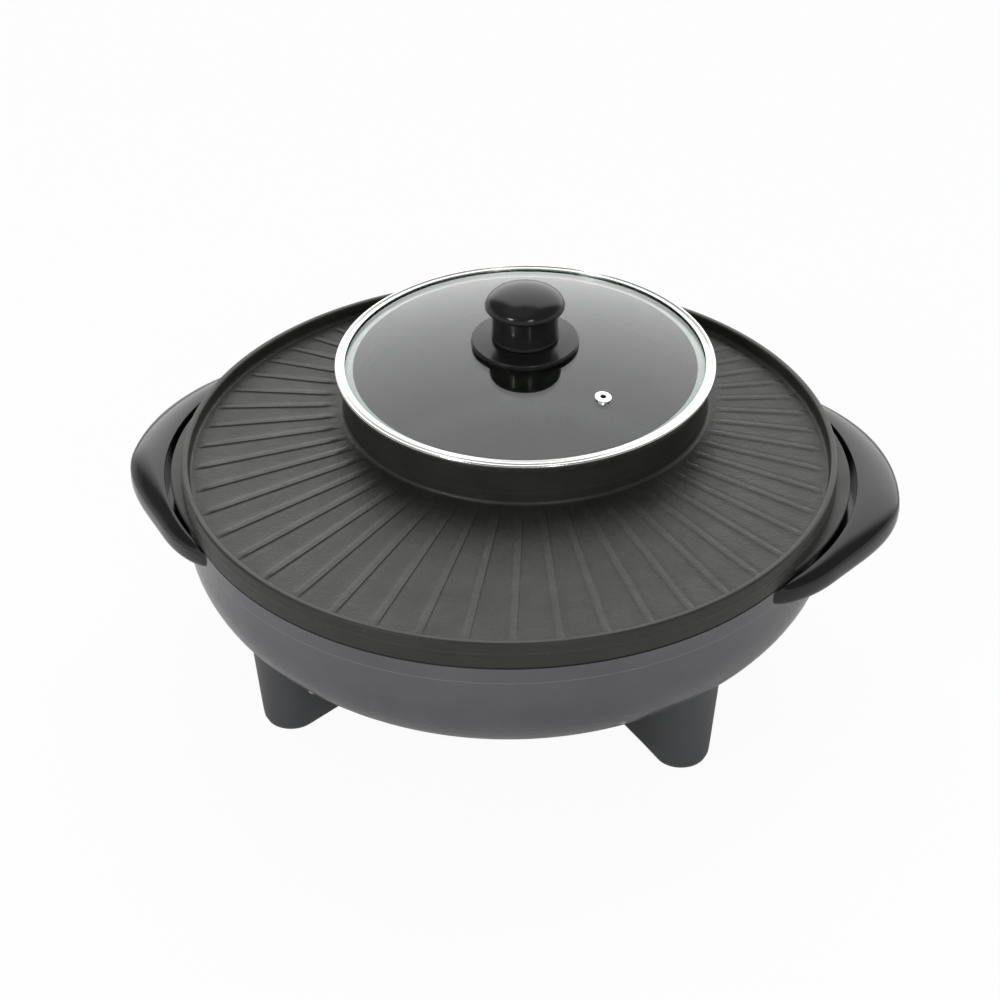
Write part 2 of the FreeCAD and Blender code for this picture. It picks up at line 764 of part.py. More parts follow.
def inlet_block(grow, depth):
    """Box of the socket's inside, grown on its four sides, from the mouth inwards."""
    block = Part.makeBox(depth, inlet_width + 2 * grow, inlet_tall + 2 * grow)
    block.translate(V(-inlet_face - 5, -inlet_width / 2 - grow, inlet_height - inlet_tall / 2 - grow))
    upright = [e for e in block.Edges if abs(e.tangentAt(e.FirstParameter).x) > 0.9]
    return block.makeFillet(3.0 + grow, upright)


def inlet_back():
    """Inner face of the socket's back wall."""
    return inlet_face - inlet_depth


def inlet_shroud():
    outer = inlet_block(inlet_wall, 5 + inlet_depth + inlet_wall)
    inner = inlet_block(0, 5 + inlet_depth)
    shroud = outer.cut(inner)
    flange = Part.makeBox(inlet_wall, inlet_width + 24, inlet_tall + 8,
                          V(-inlet_back() - 2 * inlet_wall, -inlet_width / 2 - 12, inlet_height - inlet_tall / 2 - 4))
    flange = flange.cut(inner).cut(bowl_outside_shell())
    shroud = shroud.common(bowl_outside())
    shroud = shroud.fuse(flange)
    holes = [(pin_shank_radius, row) for row in pin_rows()]
    holes += [(probe_radius + probe_wall, 0)]
    holes += [(screw_radius + hole_clearance, row) for row in inlet_screw_rows()]
    through = 4 * inlet_wall
    for radius, row in holes:
        start = V(-inlet_back() - through, row, inlet_height)
        shroud = shroud.cut(Part.makeCylinder(radius, 2 * through, start, V(1, 0, 0)))
    return tidy(shroud)


def bowl_outside_shell():
    """The bowl's wall alone, to keep the socket's flange clear of it."""
    return bowl_outside().cut(bowl_inside())


def pin_rows():
    return (-pin_spacing / 2, pin_spacing / 2)


def inlet_screw_rows():
    return (-inlet_width / 2 - 7.5, inlet_width / 2 + 7.5)


def inlet_screw_seats():
    return [V(-inlet_back() - inlet_wall, row, inlet_height) for row in inlet_screw_rows()]


def inlet_pin(row):
    back = inlet_back()
    tip = back + pin_length
    shoulder = inlet_wall + pin_tail
    points = [(0, 0, 0), (pin_shank_radius, 0, 0), (pin_shank_radius, shoulder, 0), (pin_radius, shoulder, 0),
              (pin_radius, shoulder + pin_length, pin_nose), (0, shoulder + pin_length, 0)]
    pin = revolved(points)
    pin.rotate(V(0, 0, 0), V(0, 1, 0), -90)
    pin.translate(V(shoulder + pin_length - tip, row, inlet_height))
    return pin


def probe_tube():
    length = inlet_back() + 2.0 - probe_end()
    outer = probe_radius + probe_wall
    points = [(0, 0, 0), (outer, 0, 1.0), (outer, length, 0), (probe_radius, length, 0),
              (probe_radius, probe_wall, 0), (0, probe_wall, 0)]
    shape = revolved(points)
    shape.rotate(V(0, 0, 0), V(0, 1, 0), -90)
    shape.translate(V(-probe_end(), 0, inlet_height))
    return shape


# Clamps, shield and their screws

def clamp_top():
    return grill_element_height() - element_radius


def element_clamps():
    shapes = []
    reach = (grill_element_outer - grill_element_inner) / 2 + element_radius + clamp_over
    for angle in clamp_angles:
        strap = Part.makeBox(2 * reach, clamp_width, clamp_thick, V(clamp_middle() - reach, -clamp_width / 2,
                                                                   clamp_top() - clamp_thick))
        corners = [e for e in strap.Edges if abs(e.tangentAt(e.FirstParameter).z) > 0.9]
        strap = strap.makeFillet(3.0, corners)
        strap.rotate(V(0, 0, 0), V(0, 0, 1), angle)
        hole = cylinder(screw_radius + hole_clearance, clamp_top() - 5, clamp_top() + 1, polar(clamp_middle(), angle))
        shapes.append(strap.cut(hole))
    return shapes


def clamp_screw_seats():
    return [polar(clamp_middle(), angle, clamp_top() - clamp_thick) for angle in clamp_angles]


def shield_height():
    return pot_under - shield_drop


def heat_shield():
    low = shield_height() - shield_thick
    shield = revolved([(0, low, 0), (shield_radius, low, shield_thick + 2.0), (shield_radius, low + shield_lip, 0),
                       (shield_radius - shield_thick, low + shield_lip, 0),
                       (shield_radius - shield_thick, low + shield_thick, 2.0), (0, low + shield_thick, 0)], pot_centre)
    cuts = [cylinder(screw_radius + hole_clearance, low - 5, low + 5, V(seat.x, seat.y, 0))
            for seat in shield_posts_at()]
    for edge in (pot_element_path()[0], pot_element_path()[-1]):
        place = edge.CenterOfMass
        cuts.append(cylinder(element_radius + 3.0, low - 5, low + 5, V(place.x, place.y, 0)))
    return tidy(shield.cut(cuts))


def shield_posts():
    shapes = []
    for place in shield_posts_at():
        post = cylinder(shield_post_radius, shield_height(), pot_under - 3.0, place)
        shapes.append(post.cut(cylinder(screw_radius, 0, 100, place)))
    return shapes


def shield_screw_seats():
    return [place + V(0, 0, shield_height() - shield_thick) for place in shield_posts_at()]


def shield_screw_length():
    return shield_drop + shield_thick + 1.5


# Leads, fuse and the sleeves that join leads to the elements

def element_feet():
    """Lower ends of the elements' legs: two of the pot's ring, then two of the grill's."""
    feet = []
    for path in (pot_element_path(), grill_element_path()):
        for leg in (path[0], path[-1]):
            low = min(leg.Vertexes, key=lambda vertex: vertex.Point.z)
            feet.append(low.Point)
    return feet


def element_sleeves():
    return [cylinder(sleeve_radius, -sleeve_length, 0, place) for place in element_feet()]


def pin_tail_end(row):
    return V(-inlet_back() + inlet_wall + pin_tail, row, inlet_height)


def live_lead_route():
    start = pin_tail_end(pin_rows()[1])
    end = element_feet()[1] + V(-lead_spacing, 0, -sleeve_length)
    return [start, start + V(10, 0, 0), V(-118, 30, 48), V(-95, 62, 36), end - V(0, 0, 8), end]


def neutral_lead_route():
    start = pin_tail_end(pin_rows()[0])
    end = element_feet()[0] + V(-lead_spacing, 0, -sleeve_length)
    return [start, start + V(10, 0, 0), V(-118, 2, 50), V(-92, 30, 36), end - V(0, 0, 8), end]


def live_link_route():
    start = element_feet()[1] + V(lead_spacing, 0, -sleeve_length)
    end = element_feet()[2] - V(0, 0, sleeve_length)
    return [start, start - V(0, 0, 8), V(-66, 90, 32), V(-100, 100, 52), V(-138, 78, 82), end - V(0, 0, 12), end]


def neutral_link_route():
    start = element_feet()[0] + V(lead_spacing, 0, -sleeve_length)
    end = element_feet()[3] - V(0, 0, sleeve_length)
    return [start, start - V(0, 0, 8), V(-74, 22, 34), V(-108, 18, 62), end - V(0, 6, 22), end - V(0, 0, 10), end]


def earth_lead_route():
    start = V(-inlet_back() + screw_head_height + 0.6, inlet_screw_rows()[0], inlet_height)
    end = polar(clamp_middle(), clamp_angles[0], clamp_top() - clamp_thick - screw_head_height)
    return [start, start + V(8, 0, 0), V(-142, -30, 92), end - V(0, 0, 10), end]


def lead(route):
    return tube(route, lead_bend, lead_radius)


def thermal_fuse():
    route = live_lead_route()
    middle = (route[1] + route[2]) * 0.5
    along = (route[2] - route[1]).normalize()
    body = Part.makeCylinder(fuse_radius, fuse_length, middle - along * (fuse_length / 2), along)
    return body.cut(lead(route))


# Lid

def dome_height(radius):
    return dome_centre + math.sqrt(dome_radius ** 2 - radius ** 2)


def lid_glass():
    hole = glass_hole_radius
    middle = glass_radius / 2
    top = [V(r, 0, dome_height(r)) for r in (hole, middle, glass_radius)]
    low = [p - V(0, 0, glass_thick) for p in top]
    edges = [Part.Arc(top[0], top[1], top[2]).toShape(), Part.LineSegment(top[2], low[2]).toShape(),
             Part.Arc(low[2], low[1], low[0]).toShape(), Part.LineSegment(low[0], top[0]).toShape()]
    glass = Part.Face(Part.Wire(edges)).revolve(V(0, 0, 0), V(0, 0, 1), 360)
    hole = on_dome(Part.makeCylinder(vent_bore + vent_wall + 0.1, 20, V(0, 0, glass_apex - 10)))
    glass = glass.cut(hole)
    glass.translate(pot_centre)
    return glass


def on_dome(shape):
    """Lean a shape built at the top of the dome out to the vent's place."""
    lean = math.degrees(math.asin(vent_radius / dome_radius))
    shape.rotate(V(0, 0, dome_centre), V(0, 1, 0), lean)
    shape.rotate(V(0, 0, 0), V(0, 0, 1), vent_angle)
    return shape


def lid_rim_band():
    skirt = pot_mouth_radius - band_skirt_gap
    inner = glass_radius + 0.2
    cover = glass_radius - band_cover
    points = [(cover, glass_edge_top + 0.85, 0), (cover, glass_edge_top + 0.85 + band_sheet * 0.8, 0.3),
              (inner + 1.5, glass_edge_top + band_sheet, 1.2), (band_radius, glass_edge_top - 0.6, 1.2),
              (band_radius, collar_top, 0.8), (skirt, collar_top, 0), (skirt, collar_top - band_skirt_drop, 0.3),
              (skirt - band_sheet, collar_top - band_skirt_drop, 0.3), (skirt - band_sheet, glass_edge_under, 0.3),
              (inner, glass_edge_under, 0), (inner, glass_edge_top + 0.05, 0)]
    return revolved(points, pot_centre)


def steam_vent():
    top = glass_apex
    low = glass_apex - glass_thick - 0.15
    wall = vent_bore + vent_wall
    points = [(vent_bore, low - 0.8, 0.3), (wall + 1.4, low - 0.8, 0.3), (wall + 1.4, low, 0), (wall, low, 0),
              (wall, top + 0.12, 0), (vent_flange, top + 0.12, 0.3), (vent_flange, top + 0.9, 0.4),
              (vent_bore, top + 1.2, 0.5)]
    shape = on_dome(revolved(points))
    shape.translate(pot_centre)
    return shape


def knob_disc():
    skirt = knob_disc_radius
    under = disc_under
    points = [(insert_radius, under, 0), (gasket_radius + 0.5, under, 0), (skirt - 3, dome_height(skirt) + 0.6, 0.5),
              (skirt, dome_height(skirt) + 0.5, 0.5), (skirt, disc_top - 1.2, 1.0),
              (knob_neck_radius + 3, disc_top, 2.0), (insert_radius, disc_top, 0)]
    return revolved(points, pot_centre)


def knob():
    top = disc_top + knob_height
    neck = disc_top + knob_neck_height
    points = [(0, disc_top + insert_length, 0), (insert_radius, disc_top + insert_length, 0),
              (insert_radius, disc_top, 0), (knob_neck_radius, disc_top, 0.8),
              (knob_waist_radius, disc_top + knob_neck_height * 0.6, 7.0), (knob_cap_radius - 0.6, neck + 1.5, 2.5),
              (knob_cap_radius, top - 9.0, 8.0), (knob_cap_radius * 0.55, top, 14.0), (0, top, 0)]
    return revolved(points, pot_centre)


def knob_insert():
    low = disc_top
    points = [(knob_screw_radius + 0.05, low, 0), (insert_radius, low, 0), (insert_radius, low + insert_length, 0),
              (knob_screw_radius + 0.05, low + insert_length, 0)]
    return revolved(points, pot_centre)


def ring_on_dome(inner, outer, low, high, keep_above):
    ring = revolved([(inner, low, 0), (outer, low, 0), (outer, high, 0), (inner, high, 0)])
    ball = Part.makeSphere(dome_radius, V(0, 0, dome_centre if keep_above else dome_centre - glass_thick))
    shape = ring.cut(ball) if keep_above else ring.common(ball)
    shape.translate(pot_centre)
    return shape


def knob_gasket():
    return ring_on_dome(insert_radius, gasket_radius, glass_apex - 2, disc_under, True)


def lower_gasket():
    high = glass_apex - glass_thick
    return ring_on_dome(knob_screw_radius + 0.2, 9.0, high - 1.0, high, False)


def knob_washer():
    high = glass_apex - glass_thick - 1.0
    return revolved([(knob_screw_radius + 0.2, high - 1.0, 0), (7.5, high - 1.0, 0.3), (7.5, high, 0.3),
                     (knob_screw_radius + 0.2, high, 0)], pot_centre)


def knob_screw():
    seat = pot_centre + V(0, 0, glass_apex - glass_thick - 2.0)
    return screw(seat, V(0, 0, 1), disc_top + insert_length - 2.0 - seat.z, knob_screw_radius)


def export(name, shapes):
    shape = shapes if not isinstance(shapes, list) else Part.makeCompound(shapes)
    shape.exportStep("parts/" + name + ".step")
    print(name, len(shape.Solids), "solids", len(shape.Faces), "faces", "valid" if shape.isValid() else "INVALID",
          round(shape.Volume / 1000, 2), "cm3")


def main():
    os.makedirs("parts", exist_ok=True)
    export("grill_pan", grill_pan())
    export("housing_bowl", housing_bowl())
    export("bottom_plate", bottom_plate())
    export("right_handle", handle(1))
    export("left_handle", handle(-1))
    for name, angle in foot_places():
        export("foot_" + name, foot(angle))
        export("foot_pad_" + name, foot_pad(angle))
    export("inlet_shroud", inlet_shroud())
    for name, row in zip(("neutral", "live"), pin_rows()):
        export("inlet_pin_" + name, inlet_pin(row))
    export("probe_tube", probe_tube())
    export("inlet_screws", [screw(seat, V(-1, 0, 0), inlet_screw_length) for seat in inlet_screw_seats()])
    for name, route in (("live_lead", live_lead_route()), ("neutral_lead", neutral_lead_route()),
                        ("live_link", live_link_route()), ("neutral_link", neutral_link_route()),
                        ("earth_lead", earth_lead_route())):
        export(name, lead(route))
    export("thermal_fuse", thermal_fuse())
    export("element_sleeves", element_sleeves())
    export("pot_element", pot_element())
    export("grill_element", grill_element())
    export("element_clamps", element_clamps())
    export("heat_shield", heat_shield())
    export("shield_posts", shield_posts())
    export("lid_glass", lid_glass())
    export("lid_rim_band", lid_rim_band())
    export("steam_vent", steam_vent())
    export("knob_disc", knob_disc())
    export("knob", knob())
    export("knob_insert", knob_insert())
    export("knob_gasket", knob_gasket())
    export("knob_lower_gasket", lower_gasket())
    export("knob_washer", knob_washer())
    export("knob_screw", knob_screw())
    export("pan_screws", [screw(seat, V(0, 0, 1), pan_screw_length()) for seat in pan_screw_seats()])
    export("clamp_screws", [screw(seat, V(0, 0, 1), short_screw_length) for seat in clamp_screw_seats()])
    export("shield_screws", [screw(seat, V(0, 0, 1), shield_screw_length()) for seat in shield_screw_seats()])
    export("foot_screws", [screw(foot_screw_seat(angle), V(0, 0, -1), foot_screw_length)
                           for name, angle in foot_places()])
    export("handle_screws", [screw(seat, out, handle_screw_length)
                             for side in (1, -1) for seat, out in handle_screw_seats(side)])
    export("plate_screws", [screw(seat, V(0, 0, 1), short_screw_length) for seat in plate_screw_seats()])


main()
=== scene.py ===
import json
import math

import bmesh
import bpy
from mathutils import Matrix, Vector


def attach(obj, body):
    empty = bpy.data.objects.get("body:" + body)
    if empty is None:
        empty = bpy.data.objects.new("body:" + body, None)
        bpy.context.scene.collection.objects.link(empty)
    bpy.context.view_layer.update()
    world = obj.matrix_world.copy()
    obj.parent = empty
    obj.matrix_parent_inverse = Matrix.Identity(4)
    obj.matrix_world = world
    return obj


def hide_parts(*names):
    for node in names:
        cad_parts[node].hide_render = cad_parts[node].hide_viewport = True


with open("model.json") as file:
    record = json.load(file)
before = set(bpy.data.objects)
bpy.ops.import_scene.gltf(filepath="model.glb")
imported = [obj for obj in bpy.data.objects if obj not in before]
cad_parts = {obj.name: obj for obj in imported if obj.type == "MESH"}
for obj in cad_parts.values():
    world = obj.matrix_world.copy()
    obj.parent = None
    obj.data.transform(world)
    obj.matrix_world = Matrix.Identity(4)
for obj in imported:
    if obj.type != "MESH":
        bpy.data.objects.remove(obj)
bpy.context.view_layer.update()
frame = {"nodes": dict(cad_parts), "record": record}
nodes = frame["nodes"]
print("frame loaded:", len(nodes), "nodes")


# Camera: where the photograph was taken from, seen from the middle of the pan's lip
cameraSettings = {
    "target": (0.0, 0.0, 0.140),
    "distance": 1.7412,
    "elevation": 33.55,          # degrees above the horizon
    "azimuth": 9.5,              # degrees towards the right handle
    "roll": -0.55,
    "focalPixels": 3000.0,
    "imageSize": 1000.0,
    "targetPixel": (509.52, 445.63),
}


def makeCamera(settings):
    elevation = math.radians(settings["elevation"])
    azimuth = math.radians(settings["azimuth"])
    half = settings["imageSize"] / 2
    focal = settings["focalPixels"]
    away = Vector((math.sin(azimuth) * math.cos(elevation), -math.cos(azimuth) * math.cos(elevation),
                   math.sin(elevation)))
    place = Vector(settings["target"]) + away * settings["distance"]
    straight = -away
    level = straight.cross(Vector((0, 0, 1))).normalized()
    rise = level.cross(straight)
    across = math.atan((settings["targetPixel"][0] - half) / focal)
    down = math.atan(-(settings["targetPixel"][1] - half) / focal * math.cos(across))
    forward = (straight * math.cos(down) * math.cos(across) - rise * math.sin(down)
               - level * math.sin(across) * math.cos(down)).normalized()
    right = forward.cross(Vector((0, 0, 1))).normalized()
    up = right.cross(forward)
    roll = math.radians(settings["roll"])
    rolledRight = right * math.cos(roll) + up * math.sin(roll)
    rolledUp = up * math.cos(roll) - right * math.sin(roll)
    data = bpy.data.cameras.new("photoCamera")
    data.sensor_width = 36.0
    data.lens = focal / settings["imageSize"] * data.sensor_width
    data.clip_end = 50.0
    camera = bpy.data.objects.new("photoCamera", data)
    bpy.context.scene.collection.objects.link(camera)
    turn = Matrix((rolledRight, rolledUp, -forward)).transposed()
    camera.matrix_world = Matrix.Translation(place) @ turn.to_4x4()
    bpy.context.scene.camera = camera
    return camera


makeCamera(cameraSettings)
print("camera ready")


# Small helpers for the node trees; sizes of grain are in millimetres

noiseRange = (0.3, 0.7)          # most of a noise field lies between these values


def newMaterial(name):
    material = bpy.data.materials.new(name)
    material.use_nodes = True
    tree = material.node_tree
    tree.nodes.clear()
    output = tree.nodes.new("ShaderNodeOutputMaterial")
    shader = tree.nodes.new("ShaderNodeBsdfPrincipled")
    tree.links.new(shader.outputs["BSDF"], output.inputs["Surface"])
    return material, tree, shader


def addNode(tree, kind, inputs=None, **settings):
    node = tree.nodes.new(kind)
    for key, value in settings.items():
        setattr(node, key, value)
    for key, value in (inputs or {}).items():
        if isinstance(value, bpy.types.NodeSocket):
            tree.links.new(value, node.inputs[key])
        else:
            node.inputs[key].default_value = value
    return node


def objectPoint(tree, middle=(0, 0, 0), stretch=(1, 1, 1)):
    point = addNode(tree, "ShaderNodeTexCoord").outputs["Object"]
    moved = addNode(tree, "ShaderNodeVectorMath", {0: point, 1: middle}, operation="SUBTRACT")
    return addNode(tree, "ShaderNodeVectorMath", {0: moved.outputs[0], 1: stretch},
                   operation="MULTIPLY").outputs[0]


def noiseField(tree, point, sizeMm, detail=3.0, rough=0.5, distortion=0.0):
    node = addNode(tree, "ShaderNodeTexNoise", {"Vector": point, "Scale": 1000.0 / sizeMm, "Detail": detail,
                                                "Roughness": rough, "Distortion": distortion})
    return node.outputs["Fac"]


def cellField(tree, point, sizeMm):
    node = addNode(tree, "ShaderNodeTexVoronoi", {"Vector": point, "Scale": 1000.0 / sizeMm})
    return node.outputs["Distance"]


def spread(tree, value, low, high, fromLow=0.0, fromHigh=1.0):
    node = addNode(tree, "ShaderNodeMapRange", {"Value": value, "From Min": fromLow, "From Max": fromHigh,
                                                "To Min": low, "To Max": high})
    return node.outputs["Result"]


def levelled(tree, noise, low=0.0, high=1.0):
    return spread(tree, noise, low, high, *noiseRange)


def combine(tree, operation, first, second=0.0):
    return addNode(tree, "ShaderNodeMath", {0: first, 1: second}, operation=operation).outputs[0]


def splitPoint(tree, point):
    return addNode(tree, "ShaderNodeSeparateXYZ", {0: point}).outputs


def shade(tree, amount, base, other):
    node = addNode(tree, "ShaderNodeMix", {"Factor": amount}, data_type="RGBA")
    for socket, colour in ((6, base), (7, other)):
        if isinstance(colour, bpy.types.NodeSocket):
            tree.links.new(colour, node.inputs[socket])
        else:
            node.inputs[socket].default_value = (*colour, 1)
    return node.outputs[2]


def dent(tree, shader, height, depthMm, under=None):
    inputs = {"Height": height, "Distance": depthMm / 1000.0, "Strength": 1.0}
    if under is not None:
        inputs["Normal"] = under
    node = addNode(tree, "ShaderNodeBump", inputs)
    tree.links.new(node.outputs["Normal"], shader.inputs["Normal"])
    return node.outputs["Normal"]


def feed(tree, shader, socket, value):
    tree.links.new(value, shader.inputs[socket])


def scaled(colour, factor):
    return tuple(channel * factor for channel in colour)


def varied(tree, noise, colour, darker, lighter):
    return shade(tree, levelled(tree, noise), scaled(colour, darker), scaled(colour, lighter))


def axisDistance(tree, middle):
    across, along, up = splitPoint(tree, objectPoint(tree, middle))
    square = combine(tree, "ADD", combine(tree, "MULTIPLY", across, across),
                     combine(tree, "MULTIPLY", along, along))
    return combine(tree, "SQRT", square), up


# Studio: white floor, tall bright wall behind, dim ceiling; two small lamps in front, one wide and weak above

studio = {
    "floorSize": 9.0,
    "floorColour": (0.88, 0.88, 0.88),
    "floorWhite": 0.95,            # share of plain white that the camera sees on the floor
    "horizon": 1.0,                # low white wall all round
    "horizonTo": (0.16, 0.36),     # sine of the height where it fades
    "backWall": 2.3,               # tall white wall behind the object
    "backFrom": (0.62, 0.80),      # cosine of the angle from straight behind where it begins
    "backTo": (0.90, 0.945),       # sine of the height where it ends
    "room": 0.20,                  # everything else
}
lamps = {
    "leftBox": {"place": (-0.95, -1.35, 1.15), "size": 0.35, "power": 8.0},
    "rightBox": {"place": (0.75, -1.5, 1.15), "size": 0.3, "power": 5.0},
    "topBox": {"place": (-0.4, -0.2, 2.4), "size": 2.4, "power": 4.0},
}


def makeWorld(settings):
    world = bpy.data.worlds.new("studioWorld")
    bpy.context.scene.world = world
    world.use_nodes = True
    tree = world.node_tree
    tree.nodes.clear()
    output = addNode(tree, "ShaderNodeOutputWorld")
    path = addNode(tree, "ShaderNodeLightPath")
    seen = combine(tree, "MAXIMUM", path.outputs["Is Camera Ray"], path.outputs["Is Transmission Ray"])
    direction = addNode(tree, "ShaderNodeTexCoord").outputs["Generated"]
    across, behind, height = splitPoint(tree, direction)
    level = combine(tree, "SQRT", combine(tree, "SUBTRACT", 1.0001,
                                          combine(tree, "MULTIPLY", height, height)))
    facing = spread(tree, combine(tree, "DIVIDE", behind, level), 0.0, 1.0, *settings["backFrom"])
    under = spread(tree, height, 1.0, 0.0, *settings["backTo"])
    wall = spread(tree, combine(tree, "MULTIPLY", facing, under), 0.0, settings["backWall"])
    low = spread(tree, height, settings["horizon"], settings["room"], *settings["horizonTo"])
    strength = combine(tree, "MAXIMUM", wall, low)
    white = addNode(tree, "ShaderNodeBackground", {"Color": (1, 1, 1, 1), "Strength": 1.0})
    light = addNode(tree, "ShaderNodeBackground", {"Color": (1, 1, 1, 1), "Strength": strength})
    mix = addNode(tree, "ShaderNodeMixShader", {0: seen, 1: light.outputs[0], 2: white.outputs[0]})
    tree.links.new(mix.outputs[0], output.inputs["Surface"])


def makeFloor(settings):
    mesh = bpy.data.meshes.new("floor")
    half = settings["floorSize"] / 2
    mesh.from_pydata([(-half, -half, 0), (half, -half, 0), (half, half, 0), (-half, half, 0)], [],
                     [(0, 1, 2, 3)])
    floor = bpy.data.objects.new("floor", mesh)
    bpy.context.scene.collection.objects.link(floor)
    material = bpy.data.materials.new("floorPaper")
    material.use_nodes = True
    tree = material.node_tree
    tree.nodes.clear()
    output = addNode(tree, "ShaderNodeOutputMaterial")
    path = addNode(tree, "ShaderNodeLightPath")
    seen = combine(tree, "MAXIMUM", path.outputs["Is Camera Ray"], path.outputs["Is Transmission Ray"])
    paper = addNode(tree, "ShaderNodeBsdfDiffuse", {"Color": (*settings["floorColour"], 1)})
    white = addNode(tree, "ShaderNodeEmission", {"Color": (1, 1, 1, 1), "Strength": 1.0})
    share = combine(tree, "MULTIPLY", seen, settings["floorWhite"])
    mix = addNode(tree, "ShaderNodeMixShader", {0: share, 1: paper.outputs[0], 2: white.outputs[0]})
    tree.links.new(mix.outputs[0], output.inputs["Surface"])
    mesh.materials.append(material)
    return floor


def makeLamp(name, settings, target=(0, 0, 0.1)):
    data = bpy.data.lights.new(name, "AREA")
    data.shape = "DISK"
    data.size = settings["size"]
    data.energy = settings["power"]
    lamp = bpy.data.objects.new(name, data)
    lamp.location = settings["place"]
    lamp.rotation_euler = (Vector(target) - Vector(settings["place"])).to_track_quat("-Z", "Y").to_euler()
    bpy.context.scene.collection.objects.link(lamp)
    return lamp


makeWorld(studio)
makeFloor(studio)
for lampName, lampSettings in lamps.items():
    makeLamp(lampName, lampSettings)
bpy.context.scene.view_settings.view_transform = "Standard"
print("studio ready")


# Non-stick coating of the grill pan and pot: sprayed, finely speckled, with a painted highlight on the rib
# crests and the lip top

panCoating = {"colour": (0.027, 0.028, 0.024), "ior": 1.38, "roughness": (0.36, 0.50), "mottleSize": 22.0,
              "mottle": (0.86, 1.16), "fleckColour": (0.10, 0.105, 0.10), "fleckSize": 1.5,
              "fleckEdge": (0.10, 0.22), "fleckKept": (0.42, 0.6), "grainSize": 1.1, "grainDepth": 0.16,
              "peelSize": 4.5, "peelDepth": 0.352, "ribTop": 0.1329, "ribFoot": 0.1325,
              "grillFrom": (0.1312, 0.1320), "grillTo": (0.1335, 0.1341), "lipFrom": (0.1388, 0.1400),
              "lipTo": (0.1405, 0.1410), "crestHighlight": 0.45, "crestHighlightGain": 1.7, "crestSmooth": 0.2,
              "streakSize": 9.0, "sideGrain": 0.05, "fleckShown": 0.8, "fleckHeight": 0.4}


def makePanCoating(look):
    material, tree, shader = newMaterial("panCoating")
    point = objectPoint(tree)
    mottle = noiseField(tree, point, look["mottleSize"], 4.0, 0.6)
    grain = noiseField(tree, point, look["grainSize"], 2.0, 0.6)
    flecks = spread(tree, cellField(tree, point, look["fleckSize"]), 1.0, 0.0, *look["fleckEdge"])
    patches = spread(tree, noiseField(tree, point, look["fleckSize"] * 3, 1.0), 0.0, 1.0, *look["fleckKept"])
    height = splitPoint(tree, point)[2]
    onRibs = spread(tree, height, 0.0, 1.0, look["ribFoot"], look["ribTop"])
    belowLip = spread(tree, height, 1.0, 0.0, *look["grillTo"])
    onLip = spread(tree, height, 0.0, 1.0, *look["lipFrom"])
    underLid = spread(tree, height, 1.0, 0.0, *look["lipTo"])
    aboveSide = spread(tree, height, look["sideGrain"], 1.0, *look["grillFrom"])
    onGrill = combine(tree, "MULTIPLY", belowLip, aboveSide)
    flecks = combine(tree, "MULTIPLY", combine(tree, "MULTIPLY", flecks, patches), onGrill)
    # painted highlight: the rib crests and the lip top are made lighter in colour, broken up in streaks, and
    # a little smoother
    crestHighlight = combine(tree, "MAXIMUM", combine(tree, "MULTIPLY", onRibs, belowLip),
                     combine(tree, "MULTIPLY", onLip, underLid))
    streaks = levelled(tree, noiseField(tree, point, look["streakSize"], 3.0, 0.7), 0.35, 1.0)
    crestHighlight = combine(tree, "MULTIPLY", combine(tree, "MULTIPLY", crestHighlight, streaks), look["crestHighlight"])
    base = varied(tree, mottle, look["colour"], *look["mottle"])
    base = shade(tree, combine(tree, "MULTIPLY", flecks, look["fleckShown"]), base, look["fleckColour"])
    feed(tree, shader, "Base Color", shade(tree, crestHighlight, base, scaled(look["colour"], look["crestHighlightGain"])))
    rough = levelled(tree, mottle, *look["roughness"])
    smoother = combine(tree, "MULTIPLY", crestHighlight, look["crestSmooth"])
    feed(tree, shader, "Roughness", combine(tree, "SUBTRACT", rough, smoother))
    shader.inputs["IOR"].default_value = look["ior"]
    peel = combine(tree, "MULTIPLY", onGrill, noiseField(tree, point, look["peelSize"], 3.0, 0.65))
    peel = dent(tree, shader, peel, look["peelDepth"])
    grain = combine(tree, "ADD", grain, combine(tree, "MULTIPLY", flecks, look["fleckHeight"]))
    dent(tree, shader, combine(tree, "MULTIPLY", onGrill, grain), look["grainDepth"], peel)
    return material


# Moulded plastics: mould grain, slight flow marks, hairline scratches and rubbed patches, and on the bowl a
# painted highlight line along its crease

plasticLooks = {
    "bowl_plastic": {"name": "bowlPlastic", "ior": 1.55, "colour": (0.086, 0.085, 0.092),
                     "roughness": (0.13, 0.21), "peelSize": 7.0, "peelDepth": 0.03, "grainSize": 0.5,
                     "grainDepth": 0.004, "dust": 0.35, "creaseHighlight": 0.1130},
    "handle_plastic": {"name": "handlePlastic", "ior": 1.37, "colour": (0.011, 0.011, 0.012),
                       "roughness": (0.09, 0.17), "peelSize": 6.0, "peelDepth": 0.02, "grainSize": 0.45,
                       "grainDepth": 0.003, "dust": 0.25},
    "knob_plastic": {"name": "knobPlastic", "ior": 1.36, "colour": (0.012, 0.012, 0.012),
                     "roughness": (0.16, 0.20), "peelSize": 4.0, "peelDepth": 0.015, "grainSize": 0.4,
                     "grainDepth": 0.006, "dust": 0.1},
    "foot_plastic": {"name": "footPlastic", "ior": 1.5, "colour": (0.066, 0.068, 0.071),
                     "roughness": (0.3, 0.42), "peelSize": 5.0, "peelDepth": 0.02, "grainSize": 0.6,
                     "grainDepth": 0.014, "dust": 0.5},
    "inlet_plastic": {"name": "socketPlastic", "ior": 1.5, "colour": (0.012, 0.012, 0.012),
                      "roughness": (0.42, 0.55), "peelSize": 4.0, "peelDepth": 0.02, "grainSize": 0.5,
                      "grainDepth": 0.02, "dust": 0.5},
}
